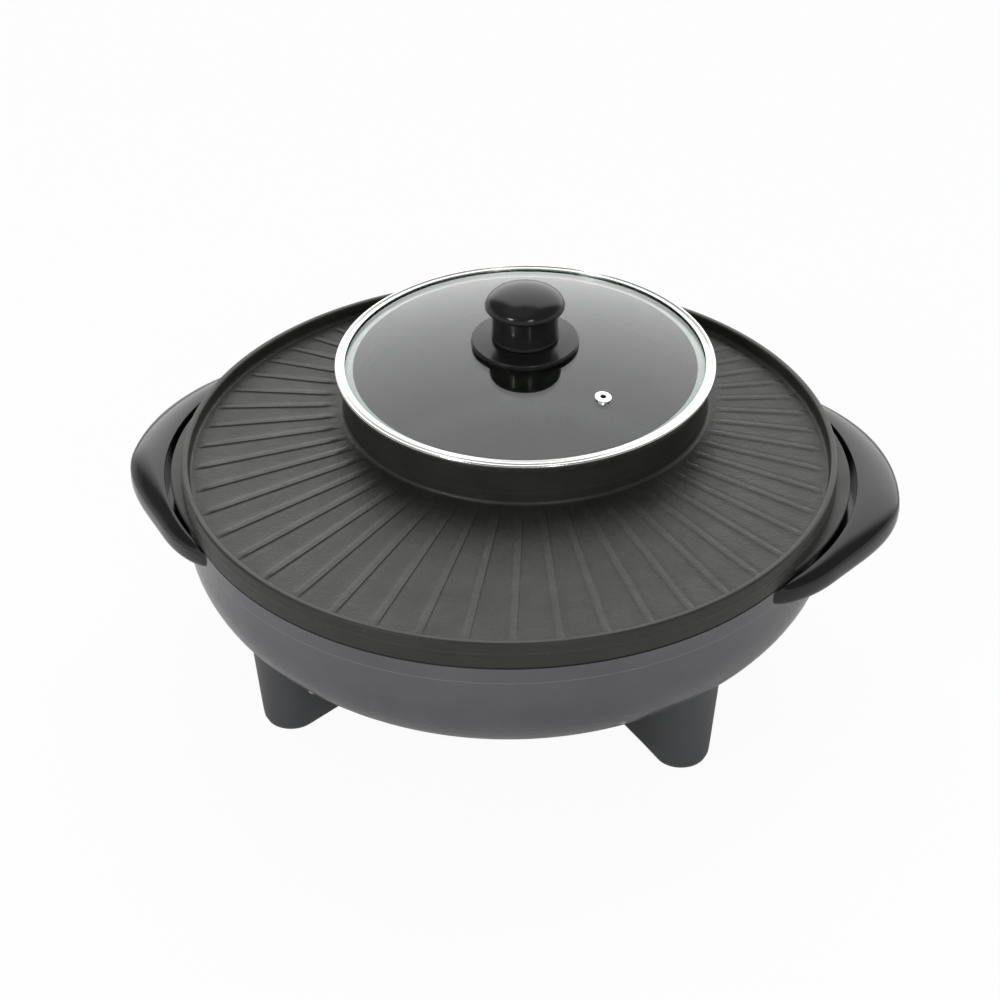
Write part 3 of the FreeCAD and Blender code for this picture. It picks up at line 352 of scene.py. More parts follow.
plasticWear = {"cloudSize": 55.0, "cloud": (0.9, 1.12), "smudgeSize": 14.0, "dustColour": (0.16, 0.155, 0.15),
               "speckSize": 2.6, "speckEdge": (0.05, 0.09), "speckPatch": 11.0, "speckKept": (0.55, 0.62),
               "speckRough": 0.5, "hairSize": 2.2, "hairStretch": 0.09, "hairWidth": 0.02, "hairRough": 0.06,
               "creaseHighlightColour": (0.3, 0.3, 0.31), "creaseHighlightShown": 0.5, "creaseHighlightEdge": (0.0001, 0.0007)}


def makePlastic(look, wear):
    material, tree, shader = newMaterial(look["name"])
    point = objectPoint(tree)
    cloud = noiseField(tree, point, wear["cloudSize"], 3.0, 0.55)
    smudge = noiseField(tree, point, wear["smudgeSize"], 4.0, 0.65, 0.4)
    grain = noiseField(tree, point, look["grainSize"], 2.0, 0.6)
    specks = spread(tree, cellField(tree, point, wear["speckSize"]), 1.0, 0.0, *wear["speckEdge"])
    kept = spread(tree, noiseField(tree, point, wear["speckPatch"], 1.0), 0.0, 1.0, *wear["speckKept"])
    specks = combine(tree, "MULTIPLY", combine(tree, "MULTIPLY", specks, kept), look["dust"])
    flat = objectPoint(tree, stretch=(1.0, wear["hairStretch"], 1.0))
    hair = noiseField(tree, flat, wear["hairSize"], 1.0, 0.5, 0.6)
    hair = spread(tree, hair, 1.0, 0.0, 0.0, wear["hairWidth"])
    base = shade(tree, specks, varied(tree, cloud, look["colour"], *wear["cloud"]), wear["dustColour"])
    # painted highlight: a thin pale line at the height of the bowl's crease, standing in for light caught on
    # its edge
    if "creaseHighlight" in look:
        off = combine(tree, "ABSOLUTE", combine(tree, "SUBTRACT", splitPoint(tree, point)[2], look["creaseHighlight"]))
        creaseHighlight = spread(tree, off, wear["creaseHighlightShown"], 0.0, *wear["creaseHighlightEdge"])
        base = shade(tree, creaseHighlight, base, wear["creaseHighlightColour"])
    feed(tree, shader, "Base Color", base)
    rough = levelled(tree, smudge, *look["roughness"])
    rough = combine(tree, "ADD", rough, combine(tree, "MULTIPLY", specks, wear["speckRough"]))
    rough = combine(tree, "ADD", rough, combine(tree, "MULTIPLY", hair, wear["hairRough"]))
    feed(tree, shader, "Roughness", rough)
    shader.inputs["IOR"].default_value = look["ior"]
    peel = dent(tree, shader, noiseField(tree, point, look["peelSize"], 1.5), look["peelDepth"])
    dent(tree, shader, grain, look["grainDepth"], peel)
    return material


# Metals: turned, brushed or pressed, with dull patches and fine lines

metalLooks = {
    "rim_steel": {"name": "rimSteel", "colour": (0.66, 0.66, 0.65), "dull": (0.54, 0.54, 0.53),
                  "roughness": (0.13, 0.24), "lines": "turned", "lineDepth": 0.002},
    "vent_steel": {"name": "ventSteel", "colour": (0.80, 0.80, 0.80), "dull": (0.6, 0.6, 0.6),
                   "roughness": (0.12, 0.2), "lines": "none", "lineDepth": 0.001},
    "screw_steel": {"name": "screwSteel", "colour": (0.58, 0.58, 0.57), "dull": (0.36, 0.35, 0.33),
                    "roughness": (0.25, 0.4), "lines": "none", "lineDepth": 0.002},
    "pin_steel": {"name": "pinSteel", "colour": (0.70, 0.70, 0.69), "dull": (0.5, 0.49, 0.47),
                  "roughness": (0.16, 0.3), "lines": "length", "lineDepth": 0.002},
    "bracket_steel": {"name": "bracketSteel", "colour": (0.5, 0.5, 0.49), "dull": (0.33, 0.31, 0.28),
                      "roughness": (0.32, 0.48), "lines": "length", "lineDepth": 0.004},
    "element_steel": {"name": "elementSteel", "colour": (0.24, 0.225, 0.21), "dull": (0.14, 0.11, 0.09),
                      "roughness": (0.4, 0.58), "lines": "none", "lineDepth": 0.006},
    "shield_metal": {"name": "shieldMetal", "colour": (0.66, 0.66, 0.65), "dull": (0.48, 0.46, 0.42),
                     "roughness": (0.26, 0.4), "lines": "length", "lineDepth": 0.003},
    "insert_brass": {"name": "insertBrass", "colour": (0.68, 0.5, 0.22), "dull": (0.42, 0.29, 0.12),
                     "roughness": (0.25, 0.4), "lines": "none", "lineDepth": 0.003},
}
metalWear = {"patchSize": 13.0, "wornShown": 0.6, "wornEdge": (0.5, 0.72), "lineShare": 0.6,
             "waveSize": 18.0, "waveDepth": 0.02, "turnedSize": 0.25, "lengthSize": 0.35,
             "lengthStretch": 0.04, "plainSize": 0.7}
lidMiddle = (0.0, 0.060, 0.0)


def metalLines(tree, point, kind, wear):
    if kind == "turned":
        radius, up = axisDistance(tree, lidMiddle)
        place = addNode(tree, "ShaderNodeCombineXYZ", {0: radius, 1: up}).outputs[0]
        size = wear["turnedSize"]
    elif kind == "length":
        place = objectPoint(tree, stretch=(wear["lengthStretch"], 1.0, 1.0))
        size = wear["lengthSize"]
    else:
        place = point
        size = wear["plainSize"]
    return noiseField(tree, place, size, 2.0, 0.6)


def makeMetal(look, wear):
    material, tree, shader = newMaterial(look["name"])
    shader.inputs["Metallic"].default_value = 1.0
    point = objectPoint(tree)
    patches = noiseField(tree, point, wear["patchSize"], 4.0, 0.6)
    lines = metalLines(tree, point, look["lines"], wear)
    worn = spread(tree, patches, 0.0, wear["wornShown"], *wear["wornEdge"])
    feed(tree, shader, "Base Color", shade(tree, worn, look["colour"], look["dull"]))
    rough = combine(tree, "ADD", combine(tree, "MULTIPLY", lines, wear["lineShare"]),
                    combine(tree, "MULTIPLY", patches, 1 - wear["lineShare"]))
    feed(tree, shader, "Roughness", levelled(tree, rough, *look["roughness"]))
    wave = dent(tree, shader, noiseField(tree, point, wear["waveSize"], 1.0), wear["waveDepth"])
    dent(tree, shader, lines, look["lineDepth"], wave)
    return material


# Painted bottom plate: black powder paint with lighter scuffs in streaks

platePaint = {"colour": (0.022, 0.022, 0.022), "scuffed": (0.09, 0.09, 0.088), "roughness": (0.42, 0.56),
              "cloudSize": 30.0, "cloud": (0.8, 1.3), "scuffSize": 5.0, "scuffStretch": 0.2,
              "scuffShown": 0.5, "scuffEdge": (0.66, 0.74), "grainSize": 0.8, "grainDepth": 0.04}


def makePlatePaint(look):
    material, tree, shader = newMaterial("platePaint")
    point = objectPoint(tree)
    cloud = noiseField(tree, point, look["cloudSize"], 4.0, 0.6)
    flat = objectPoint(tree, stretch=(look["scuffStretch"], 1, 1))
    scuff = noiseField(tree, flat, look["scuffSize"], 3.0, 0.7)
    scuff = spread(tree, scuff, 0.0, look["scuffShown"], *look["scuffEdge"])
    base = varied(tree, cloud, look["colour"], *look["cloud"])
    feed(tree, shader, "Base Color", shade(tree, scuff, base, look["scuffed"]))
    feed(tree, shader, "Roughness", levelled(tree, cloud, *look["roughness"]))
    dent(tree, shader, noiseField(tree, point, look["grainSize"], 3.0, 0.6), look["grainDepth"])
    return material


# Rubber and silicone: dull, dusty, with a fine matt grain

rubberLooks = {
    "foot_rubber": {"name": "padRubber", "colour": (0.017, 0.017, 0.017), "dust": (0.07, 0.067, 0.062),
                    "roughness": (0.6, 0.8)},
    "silicone": {"name": "gasketSilicone", "colour": (0.022, 0.022, 0.022), "dust": (0.05, 0.05, 0.05),
                 "roughness": (0.45, 0.6)},
    "live_insulation": {"name": "liveInsulation", "colour": (0.17, 0.065, 0.025),
                        "dust": (0.24, 0.16, 0.11), "roughness": (0.42, 0.55)},
    "neutral_insulation": {"name": "neutralInsulation", "colour": (0.035, 0.09, 0.33),
                           "dust": (0.14, 0.18, 0.32), "roughness": (0.42, 0.55)},
    "sleeve_plastic": {"name": "sleeveGlassFibre", "colour": (0.68, 0.66, 0.6), "dust": (0.5, 0.45, 0.36),
                       "roughness": (0.6, 0.8)},
    "fuse_ceramic": {"name": "fuseCeramic", "colour": (0.74, 0.71, 0.64), "dust": (0.55, 0.5, 0.42),
                     "roughness": (0.45, 0.6)},
}
rubberWear = {"cloudSize": 8.0, "cloudDepth": 0.03, "dustShown": 0.45, "dustEdge": (0.5, 0.75),
              "grainSize": 0.4, "grain": (0.88, 1.12), "grainDepth": 0.02}


def makeRubber(look, wear):
    material, tree, shader = newMaterial(look["name"])
    point = objectPoint(tree)
    cloud = noiseField(tree, point, wear["cloudSize"], 4.0, 0.65)
    grain = noiseField(tree, point, wear["grainSize"], 2.0, 0.6)
    dusty = spread(tree, cloud, 0.0, wear["dustShown"], *wear["dustEdge"])
    base = varied(tree, grain, look["colour"], *wear["grain"])
    feed(tree, shader, "Base Color", shade(tree, dusty, base, look["dust"]))
    feed(tree, shader, "Roughness", levelled(tree, cloud, *look["roughness"]))
    soft = dent(tree, shader, cloud, wear["cloudDepth"])
    dent(tree, shader, grain, wear["grainDepth"], soft)
    return material


# Earth lead: green with a yellow stripe winding round it

earthLook = {"green": (0.05, 0.25, 0.04), "yellow": (0.62, 0.5, 0.04), "dust": (0.1, 0.1, 0.09),
             "stripeScale": 1000.0 / 9.0 / 6.2832 * 3.0, "stripeWave": 0.3, "stripeEdge": (0.62, 0.68),
             "cloudSize": 6.0, "dustShown": 0.3, "dustEdge": (0.5, 0.8), "roughness": (0.42, 0.55),
             "grainSize": 0.5, "grainDepth": 0.02}


def makeEarthInsulation(look):
    material, tree, shader = newMaterial("earthInsulation")
    point = objectPoint(tree)
    wave = {"Vector": point, "Scale": look["stripeScale"], "Distortion": look["stripeWave"]}
    bands = addNode(tree, "ShaderNodeTexWave", wave, wave_type="BANDS", bands_direction="DIAGONAL")
    stripe = spread(tree, bands.outputs["Fac"], 0.0, 1.0, *look["stripeEdge"])
    cloud = noiseField(tree, point, look["cloudSize"], 3.0, 0.6)
    dusty = spread(tree, cloud, 0.0, look["dustShown"], *look["dustEdge"])
    base = shade(tree, stripe, look["green"], look["yellow"])
    feed(tree, shader, "Base Color", shade(tree, dusty, base, look["dust"]))
    feed(tree, shader, "Roughness", levelled(tree, cloud, *look["roughness"]))
    dent(tree, shader, noiseField(tree, point, look["grainSize"], 2.0), look["grainDepth"])
    return material


# Tempered glass of the lid: faintly green, slightly wavy, with a few dull water marks

glassLook = {"tint": (0.88, 0.93, 0.905), "edgeTint": (0.55, 0.72, 0.64), "edge": (0.104, 0.1095),
             "ior": 1.5, "cloudSize": 35.0, "cloud": (1.0, 0.96), "waveSize": 60.0, "waveDepth": 0.03,
             "markSize": 6.5, "markEdge": (0.12, 0.2), "markPatch": 28.0, "markKept": (0.6, 0.68),
             "cleanRough": 0.0, "markRough": 0.09}


def makeGlass(look):
    material, tree, shader = newMaterial("lidGlass")
    point = objectPoint(tree)
    shader.inputs["Transmission Weight"].default_value = 1.0
    shader.inputs["IOR"].default_value = look["ior"]
    edge = spread(tree, axisDistance(tree, lidMiddle)[0], 0.0, 1.0, *look["edge"])
    tint = varied(tree, noiseField(tree, point, look["cloudSize"], 3.0, 0.6), look["tint"], *look["cloud"])
    feed(tree, shader, "Base Color", shade(tree, edge, tint, look["edgeTint"]))
    marks = spread(tree, cellField(tree, point, look["markSize"]), 1.0, 0.0, *look["markEdge"])
    kept = spread(tree, noiseField(tree, point, look["markPatch"], 2.0), 0.0, 1.0, *look["markKept"])
    marks = combine(tree, "MULTIPLY", marks, kept)
    feed(tree, shader, "Roughness", spread(tree, marks, look["cleanRough"], look["markRough"]))
    dent(tree, shader, noiseField(tree, point, look["waveSize"], 1.0), look["waveDepth"])
    return material


finishes = {slot: makePlastic(look, plasticWear) for slot, look in plasticLooks.items()}
finishes.update({slot: makeMetal(look, metalWear) for slot, look in metalLooks.items()})
finishes.update({slot: makeRubber(look, rubberWear) for slot, look in rubberLooks.items()})
finishes["pan_coating"] = makePanCoating(panCoating)
finishes["plate_metal"] = makePlatePaint(platePaint)
finishes["earth_insulation"] = makeEarthInsulation(earthLook)
finishes["lid_glass"] = makeGlass(glassLook)

for entry in frame["record"]["subparts"]:
    mesh = nodes[entry["node"]].data
    mesh.materials.clear()
    mesh.materials.append(finishes[entry["material_slot"]])
print("finishes ready:", len(finishes))


# Mesh helpers: profiles with rounded corners, turned and lofted closed meshes; sizes in millimetres

def roundedProfile(corners, steps=8, closed=True):
    count = len(corners)
    points = []
    for index, (radius, height, bend) in enumerate(corners):
        here = Vector((radius, height))
        if bend <= 0 or (not closed and index in (0, count - 1)):
            points.append((here.x, here.y))
            continue
        before = Vector(corners[index - 1][:2]) - here
        after = Vector(corners[(index + 1) % count][:2]) - here
        half = before.angle(after) / 2
        sweep = math.pi - 2 * half
        reach = min(bend / math.tan(half), before.length * 0.49, after.length * 0.49)
        bend = reach * math.tan(half)
        middle = here + (before.normalized() + after.normalized()).normalized() * (bend / math.sin(half))
        start = here + before.normalized() * reach - middle
        end = here + after.normalized() * reach - middle
        for step in range(steps + 1):
            share = step / steps
            arm = start * math.sin((1 - share) * sweep) + end * math.sin(share * sweep)
            arm = arm / math.sin(sweep)
            points.append(tuple(middle + arm))
    return points


def turnedMesh(profile, middle, count=192):
    verts = []
    rings = []
    for radius, height in profile:
        if radius < 1e-6:
            rings.append([len(verts)])
            verts.append((middle[0], middle[1], height / 1000))
            continue
        ring = []
        for step in range(count):
            turn = 2 * math.pi * step / count
            ring.append(len(verts))
            place = (middle[0] + radius / 1000 * math.cos(turn), middle[1] + radius / 1000 * math.sin(turn))
            verts.append((*place, height / 1000))
        rings.append(ring)
    faces = []
    for index, ring in enumerate(rings):
        following = rings[(index + 1) % len(rings)]
        if len(ring) == 1 and len(following) == 1:
            continue
        for step in range(count):
            after = (step + 1) % count
            if len(ring) == 1:
                faces.append((ring[0], following[after], following[step]))
            elif len(following) == 1:
                faces.append((ring[step], ring[after], following[0]))
            else:
                faces.append((ring[step], ring[after], following[after], following[step]))
    return verts, faces


def loftedMesh(rings):
    count = len(rings[0])
    verts = [point for ring in rings for point in ring]
    faces = []
    for index in range(len(rings) - 1):
        low = index * count
        high = low + count
        for step in range(count):
            after = (step + 1) % count
            faces.append((low + step, low + after, high + after, high + step))
    faces.append(tuple(range(count - 1, -1, -1)))
    faces.append(tuple(range(len(verts) - count, len(verts))))
    return verts, faces


def appendMesh(verts, faces, moreVerts, moreFaces):
    first = len(verts)
    verts += moreVerts
    faces += [tuple(first + index for index in face) for face in moreFaces]


def addPiece(name, verts, faces, slot, body, *replaced, sharp=40):
    mesh = bpy.data.meshes.new(name)
    mesh.from_pydata(verts, [], faces)
    work = bmesh.new()
    work.from_mesh(mesh)
    bmesh.ops.remove_doubles(work, verts=work.verts, dist=1e-6)
    bmesh.ops.recalc_face_normals(work, faces=work.faces)
    work.to_mesh(mesh)
    work.free()
    mesh.shade_smooth()
    mesh.set_sharp_from_angle(angle=math.radians(sharp))
    mesh.materials.append(finishes[slot])
    piece = bpy.data.objects.new(name, mesh)
    bpy.context.scene.collection.objects.link(piece)
    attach(piece, body)
    if replaced:
        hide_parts(*replaced)
    return piece


# Knob: near-straight neck under a wide cap with a domed top

knobShape = {"foot": 178.0, "neck": 20.0, "waist": 19.4, "capUnder": 197.0, "cap": 23.6, "widest": 199.4,
             "rise": 10.2, "fullness": 0.92, "domeSteps": 24, "boreRadius": 3.5, "boreTop": 193.6}


def makeKnob(shape):
    cap = shape["cap"]
    foot = shape["foot"]
    under = shape["capUnder"]
    bore = shape["boreRadius"]
    corners = [(0, shape["boreTop"], 0), (bore, shape["boreTop"], 0), (bore, foot, 0),
               (shape["neck"], foot, 0.9), (shape["neck"] - 0.5, foot + 2.6, 2.0),
               (shape["waist"], (foot + under) / 2, 30.0), (shape["neck"] + 0.2, under, 0.7),
               (cap - 0.5, under, 1.3)]
    profile = roundedProfile(corners, closed=False)[:-1] + [(cap, shape["widest"] - 0.3)]
    for step in range(shape["domeSteps"] + 1):
        turn = math.pi / 2 * step / shape["domeSteps"]
        profile.append((cap * math.cos(turn) ** shape["fullness"],
                        shape["widest"] + shape["rise"] * math.sin(turn)))
    profile[-1] = (0.0, profile[-1][1])
    verts, faces = turnedMesh(profile, lidMiddle)
    return addPiece("lidKnob", verts, faces, "knob_plastic", "lid", "knob", sharp=60)


makeKnob(knobShape)


# Steel rim of the lid: rolled outer bead, narrow groove, inner lip on the glass, skirt in the pot's mouth

rimShape = {"outer": 113.0, "beadInner": 110.9, "beadTop": 161.4, "beadFoot": 158.7, "lipInner": 107.0,
            "lipTop": 161.8, "lipDrop": 1.2, "underTop": 155.2, "wall": 109.9, "skirt": 102.6,
            "skirtFoot": 150.4, "sheet": 1.0}


def makeLidRim(shape):
    skirt = shape["skirt"]
    under = shape["underTop"]
    wall = shape["wall"]
    bead = shape["beadInner"]
    lip = shape["lipInner"]
    lipFoot = shape["lipTop"] - shape["lipDrop"]
    corners = [(lip, shape["lipTop"] - 0.45, 0.15), (lip + 0.2, shape["lipTop"], 0.25),
               (bead - 0.4, lipFoot, 0.3), (bead - 0.1, lipFoot - 0.35, 0.15),
               (bead + 0.1, shape["beadTop"], 1.1),
               (shape["outer"], shape["beadTop"], 1.35), (shape["outer"], shape["beadFoot"], 1.0),
               (wall + 1.0, shape["beadFoot"] - 0.4, 0.5), (wall + 0.5, under, 0.4), (skirt, under, 0.2),
               (skirt, shape["skirtFoot"], 0.3), (skirt - shape["sheet"], shape["skirtFoot"], 0.3),
               (skirt - shape["sheet"], under + shape["sheet"], 0.3),
               (wall - 0.2, under + shape["sheet"], 0.1), (wall - 0.2, shape["lipTop"] - 0.6, 0.1)]
    verts, faces = turnedMesh(roundedProfile(corners, 6), lidMiddle, 256)
    return addPiece("lidRim", verts, faces, "rim_steel", "lid", "lid_rim_band", sharp=50)


makeLidRim(rimShape)


# Handles: flat top, tight shoulder, rounded underside, deep slot beside the pan's ear

handleShape = {"reach": 227.0, "halfWidth": 107.0, "depth": 88.0, "turn": 2.5, "endAngle": 33.5,
               "root": 188.6, "endWidth": 0.8, "top": 125.8, "endTop": 122.3, "tall": 27.6, "endTall": 6.0,
               "swell": 0.6, "frontSlim": 0.36, "slimFrom": -1.0, "slimOver": 21.0, "slotEnd": 190.8,
               "slotMiddle": 201.8, "slotHalf": 28.0, "slotFloor": 113.5, "sections": 73}


def arcRadius(angle, halfAngle, endRadius, middleRadius):
    end = Vector((endRadius * math.cos(math.radians(halfAngle)),
                  endRadius * math.sin(math.radians(halfAngle))))
    middle = ((end.length_squared - middleRadius ** 2) / (2 * (end.x - middleRadius)), 0)
    radius = middleRadius - middle[0]
    turn = math.radians(angle)
    along = middle[0] * math.cos(turn)
    return along + math.sqrt(max(0.0, radius ** 2 - (middle[0] * math.sin(turn)) ** 2))


def handleOutline(angle, shape):
    turn = math.radians(angle)
    centre = shape["reach"] - shape["depth"]
    a = (math.cos(turn) / shape["depth"]) ** 2 + (math.sin(turn) / shape["halfWidth"]) ** 2
    b = -2 * centre * math.cos(turn) / shape["depth"] ** 2
    c = (centre / shape["depth"]) ** 2 - 1
    return (-b + math.sqrt(max(0.0, b * b - 4 * a * c))) / (2 * a)


# Points of a curve from start towards end, drawn by two corners; end itself is left out
def arch(start, first, second, end, steps):
    points = []
    for step in range(steps):
        t = step / steps
        s = 1 - t
        shares = (s ** 3, 3 * s * s * t, 3 * s * t * t, t ** 3)
        corners = zip(shares, (start, first, second, end))
        points.append(tuple(map(sum, zip(*((share * x, share * y) for share, (x, y) in corners)))))
    return points


def handleWidth(angle, shape):
    slim = min(1.0, max(0.0, (angle * shape["frontSide"] - shape["slimFrom"]) / shape["slimOver"]))
    slim = slim * slim * (3 - 2 * slim)
    return max((handleOutline(angle, shape) - shape["root"]) * (1 - shape["frontSlim"] * slim),
               shape["endWidth"])


def handleSection(angle, shape):
    root = shape["root"]
    width = handleWidth(angle, shape)
    out = root + width
    share = (width - shape["endWidth"]) / (shape["reach"] - root - shape["endWidth"])
    share = min(1.0, max(0.0, share)) ** shape["swell"]
    tall = shape["endTall"] + (shape["tall"] - shape["endTall"]) * share
    top = shape["endTop"] + (shape["top"] - shape["endTop"]) * share
    low = top - tall
    nose = low + tall * 0.5
    inner = shape["slotEnd"]
    if abs(angle) < shape["slotHalf"]:
        inner = arcRadius(angle, shape["slotHalf"], shape["slotEnd"], shape["slotMiddle"])
    inner = min(inner, out - min(1.0, width * 0.3))
    floor = max(low + tall * 0.25, shape["slotFloor"])
    edge = min(0.8, (out - inner) * 0.3)
    # underside, nose and shoulder: shares of the width inwards and of the height upwards
    belly = (out - width * 0.22, low + tall * 0.06)
    shoulder = (out - width * 0.05, top - tall * 0.25)
    points = arch((root, low), (root, low), (out - width * 0.28, low), belly, 8)
    points += arch(belly, (out - width * 0.06, low + tall * 0.14), (out, low + tall * 0.28), (out, nose), 10)
    points += arch((out, nose), (out, nose + tall * 0.13), (out, top - tall * 0.30), shoulder, 8)
    points += arch(shoulder, (out - width * 0.16, top - tall * 0.13), (out - width * 0.42, top),
                   (inner + edge, top), 16)
    points += arch((inner + edge, top), (inner, top), (inner, top), (inner, top - edge), 4)
    points += [(inner, top - edge - (top - edge - floor) * step / 3) for step in range(3)]
    points += [(inner, floor), (root, floor), (root, floor - (floor - low) * 0.5)]
    turn = math.radians(angle)
    return [(radius / 1000 * math.cos(turn), radius / 1000 * math.sin(turn), height / 1000)
            for radius, height in points]


def makeHandle(name, node, shape, facing):
    last = shape["sections"] - 1
    rings = []
    for index in range(shape["sections"]):
        angle = shape["endAngle"] * math.sin(math.pi / 2 * (2 * index / last - 1))
        rings.append(handleSection(angle, shape))
    verts, faces = loftedMesh(rings)
    turn = Matrix.Rotation(math.radians(facing + shape["turn"]), 3, "Z")
    verts = [tuple(turn @ Vector(point)) for point in verts]
    return addPiece(name, verts, faces, "handle_plastic", "base", node, sharp=50)


makeHandle("gripRight", "right_handle", {**handleShape, "frontSide": -1}, 0)
makeHandle("gripLeft", "left_handle", {**handleShape, "frontSide": 1, "reach": 225.5}, 180)


# Feet: fins that grow towards the middle and die into the bowl

bowlShape = {"radius": 189.0, "depth": 92.0, "curveTop": 100.0}
# outlines: height, radius of the outer end, how far the fin reaches inwards
footShape = {"ring": 148.0, "angle": 39.5, "innerShare": 0.85, "columns": 96, "rows": 26, "rowGrowth": 1.3,
             "into": 1.2,
             "outlines": ((1.0, 12.0, 1.5), (1.4, 13.6, 3.0), (2.2, 14.9, 5.0), (5.0, 16.2, 14.0),
                          (8.0, 16.6, 23.5), (12.0, 17.0, 36.0), (14.0, 17.2, 42.0), (75.0, 22.6, 46.0))}


def footOutline(height, shape):
    table = shape["outlines"]
    for low, high in zip(table[:-1], table[1:]):
        if height <= high[0]:
            break
    share = (height - low[0]) / (high[0] - low[0])
    radius = low[1] + (high[1] - low[1]) * share
    inward = low[2] + (high[2] - low[2]) * share
    return radius, inward


def footPoint(step, height, shape):
    radius, inward = footOutline(height, shape)
    small = radius * shape["innerShare"]
    lean = math.acos(max(-1.0, min(1.0, (radius - small) / max(inward, radius - small + 1e-6))))
    across = math.pi - lean
    turn = -math.pi + 2 * math.pi * step / shape["columns"]
    if abs(turn) <= across:
        place = (shape["ring"] + radius * math.cos(turn), radius * math.sin(turn))
    else:
        place = (shape["ring"] - inward + small * math.cos(turn), small * math.sin(turn))
    return place


def bowlOutside(distance):
    share = min(1.0, distance / bowlShape["radius"])
    return bowlShape["curveTop"] - bowlShape["depth"] * math.sqrt(1 - share * share)


def makeFoot(name, node, angle, shape):
    table = shape["outlines"]
    tops = []
    for step in range(shape["columns"]):
        low, high = table[2][0], table[-1][0]
        for _ in range(40):
            middle = (low + high) / 2
            place = footPoint(step, middle, shape)
            if middle < bowlOutside(math.hypot(*place)) + shape["into"]:
                low = middle
            else:
                high = middle
        tops.append(low)
    levels = [entry[0] for entry in table[:4]]
    rings = []
    for level in levels:
        rings.append([(*footPoint(step, level, shape), level) for step in range(shape["columns"])])
    start = levels[-1]
    for row in range(1, shape["rows"] + 1):
        share = (row / shape["rows"]) ** shape["rowGrowth"]
        ring = []
        for step in range(shape["columns"]):
            height = start + (tops[step] - start) * share
            ring.append((*footPoint(step, height, shape), height))
        rings.append(ring)
    turn = math.radians(angle)
    verts, faces = loftedMesh(rings)
    verts = [((x * math.cos(turn) - y * math.sin(turn)) / 1000,
              (x * math.sin(turn) + y * math.cos(turn)) / 1000, z / 1000) for x, y, z in verts]
    return addPiece(name, verts, faces, "foot_plastic", "base", node, sharp=55)


for footName, footAngle in (("front_right", -footShape["angle"]), ("front_left", footShape["angle"] - 180),
                            ("rear_left", 180 - footShape["angle"]), ("rear_right", footShape["angle"])):
    makeFoot("fin_" + footName, "foot_" + footName, footAngle, footShape)


# Bowl-coloured plugs in the four screw holes of the bowl

plugShape = {"ring": 172.0, "radius": 4.45, "angles": (-120, -60, 20, 160), "thick": 2.5, "sunk": 0.1,
             "count": 48}


def makePlugs(shape):
    verts = []
    faces = []
    for angle in shape["angles"]:
        turn = math.radians(angle)
        x, y = shape["ring"] * math.cos(turn), shape["ring"] * math.sin(turn)
        rings = []
        for share, lift in ((0.5, 0.0), (1.0, 0.0), (1.0, shape["thick"])):
            ring = []
            for step in range(shape["count"]):
                around = 2 * math.pi * step / shape["count"]
                px = x + shape["radius"] * share * math.cos(around)
                py = y + shape["radius"] * share * math.sin(around)
                height = bowlOutside(math.hypot(px, py)) + shape["sunk"] + lift
                ring.append((px / 1000, py / 1000, height / 1000))
            rings.append(ring)
        appendMesh(verts, faces, *loftedMesh(rings))
    return addPiece("bowlPlugs", verts, faces, "bowl_plastic", "base", sharp=50)


makePlugs(plugShape)
print("knob, rim, handles, feet and plugs ready")


# Grill pan with the sunk pot: one closed mesh whose columns follow the ribs, all pointing at the pot's middle

panShape = {"potMiddle": (0.0, 60.0), "ribs": 58, "firstRib": -88.8, "ribTall": 0.5, "grooveDeep": 0.3,
            "ribOffsets": (-3.4, -2.6, -1.7, 0.0, 1.9, 2.3, 2.7, 3.3),
            "ribHeights": (0.0, 0.35, 1.0, 1.0, 1.0, -0.25, -0.6, 0.0), "between": 3, "grillTop": 132.4,
            "grillUnder": 128.0, "collarTop": 155.2, "mouth": 103.5, "potWall": 4.6, "floorRadius": 98.0,
            "floorHeight": 64.0, "floorThick": 5.0, "grillStart": 112.8, "lipFoot": 182.6, "radius": 190.0,
            "lipTop": 140.0, "bandFoot": 123.7, "bandInner": 185.5, "rows": 22, "fadeIn": 9.0,
            "fadeOut": 2.5, "shortFrom": 24.0, "shortTo": 14.0}
# radius, foot, top, ring of the bosses, the ring's middle, angles
panBosses = {"pillar": (6.0, 116.0, 128.5, 172.0, (0.0, 0.0), (-120, -60, 20, 160)),
             "clamp": (4.5, 121.4, 128.5, 148.0, (0.0, 0.0), (-170, -130, -90, -50, -10)),
             "post": (4.5, 56.0, 59.5, 36.0, (0.0, 60.0), (90, 210, 330))}


def panColumns(shape):
    columns = []
    period = 360.0 / shape["ribs"]
    for index in range(shape["ribs"]):
        angle = shape["firstRib"] + period * index
        for offset, height in zip(shape["ribOffsets"], shape["ribHeights"]):
            tall = height * (shape["ribTall"] if height > 0 else shape["grooveDeep"])
            columns.append((angle, offset, tall))
        for step in range(1, shape["between"] + 1):
            columns.append((angle + period * (0.15 + 0.7 * step / (shape["between"] + 1)), 0.0, 0.0))
    return columns


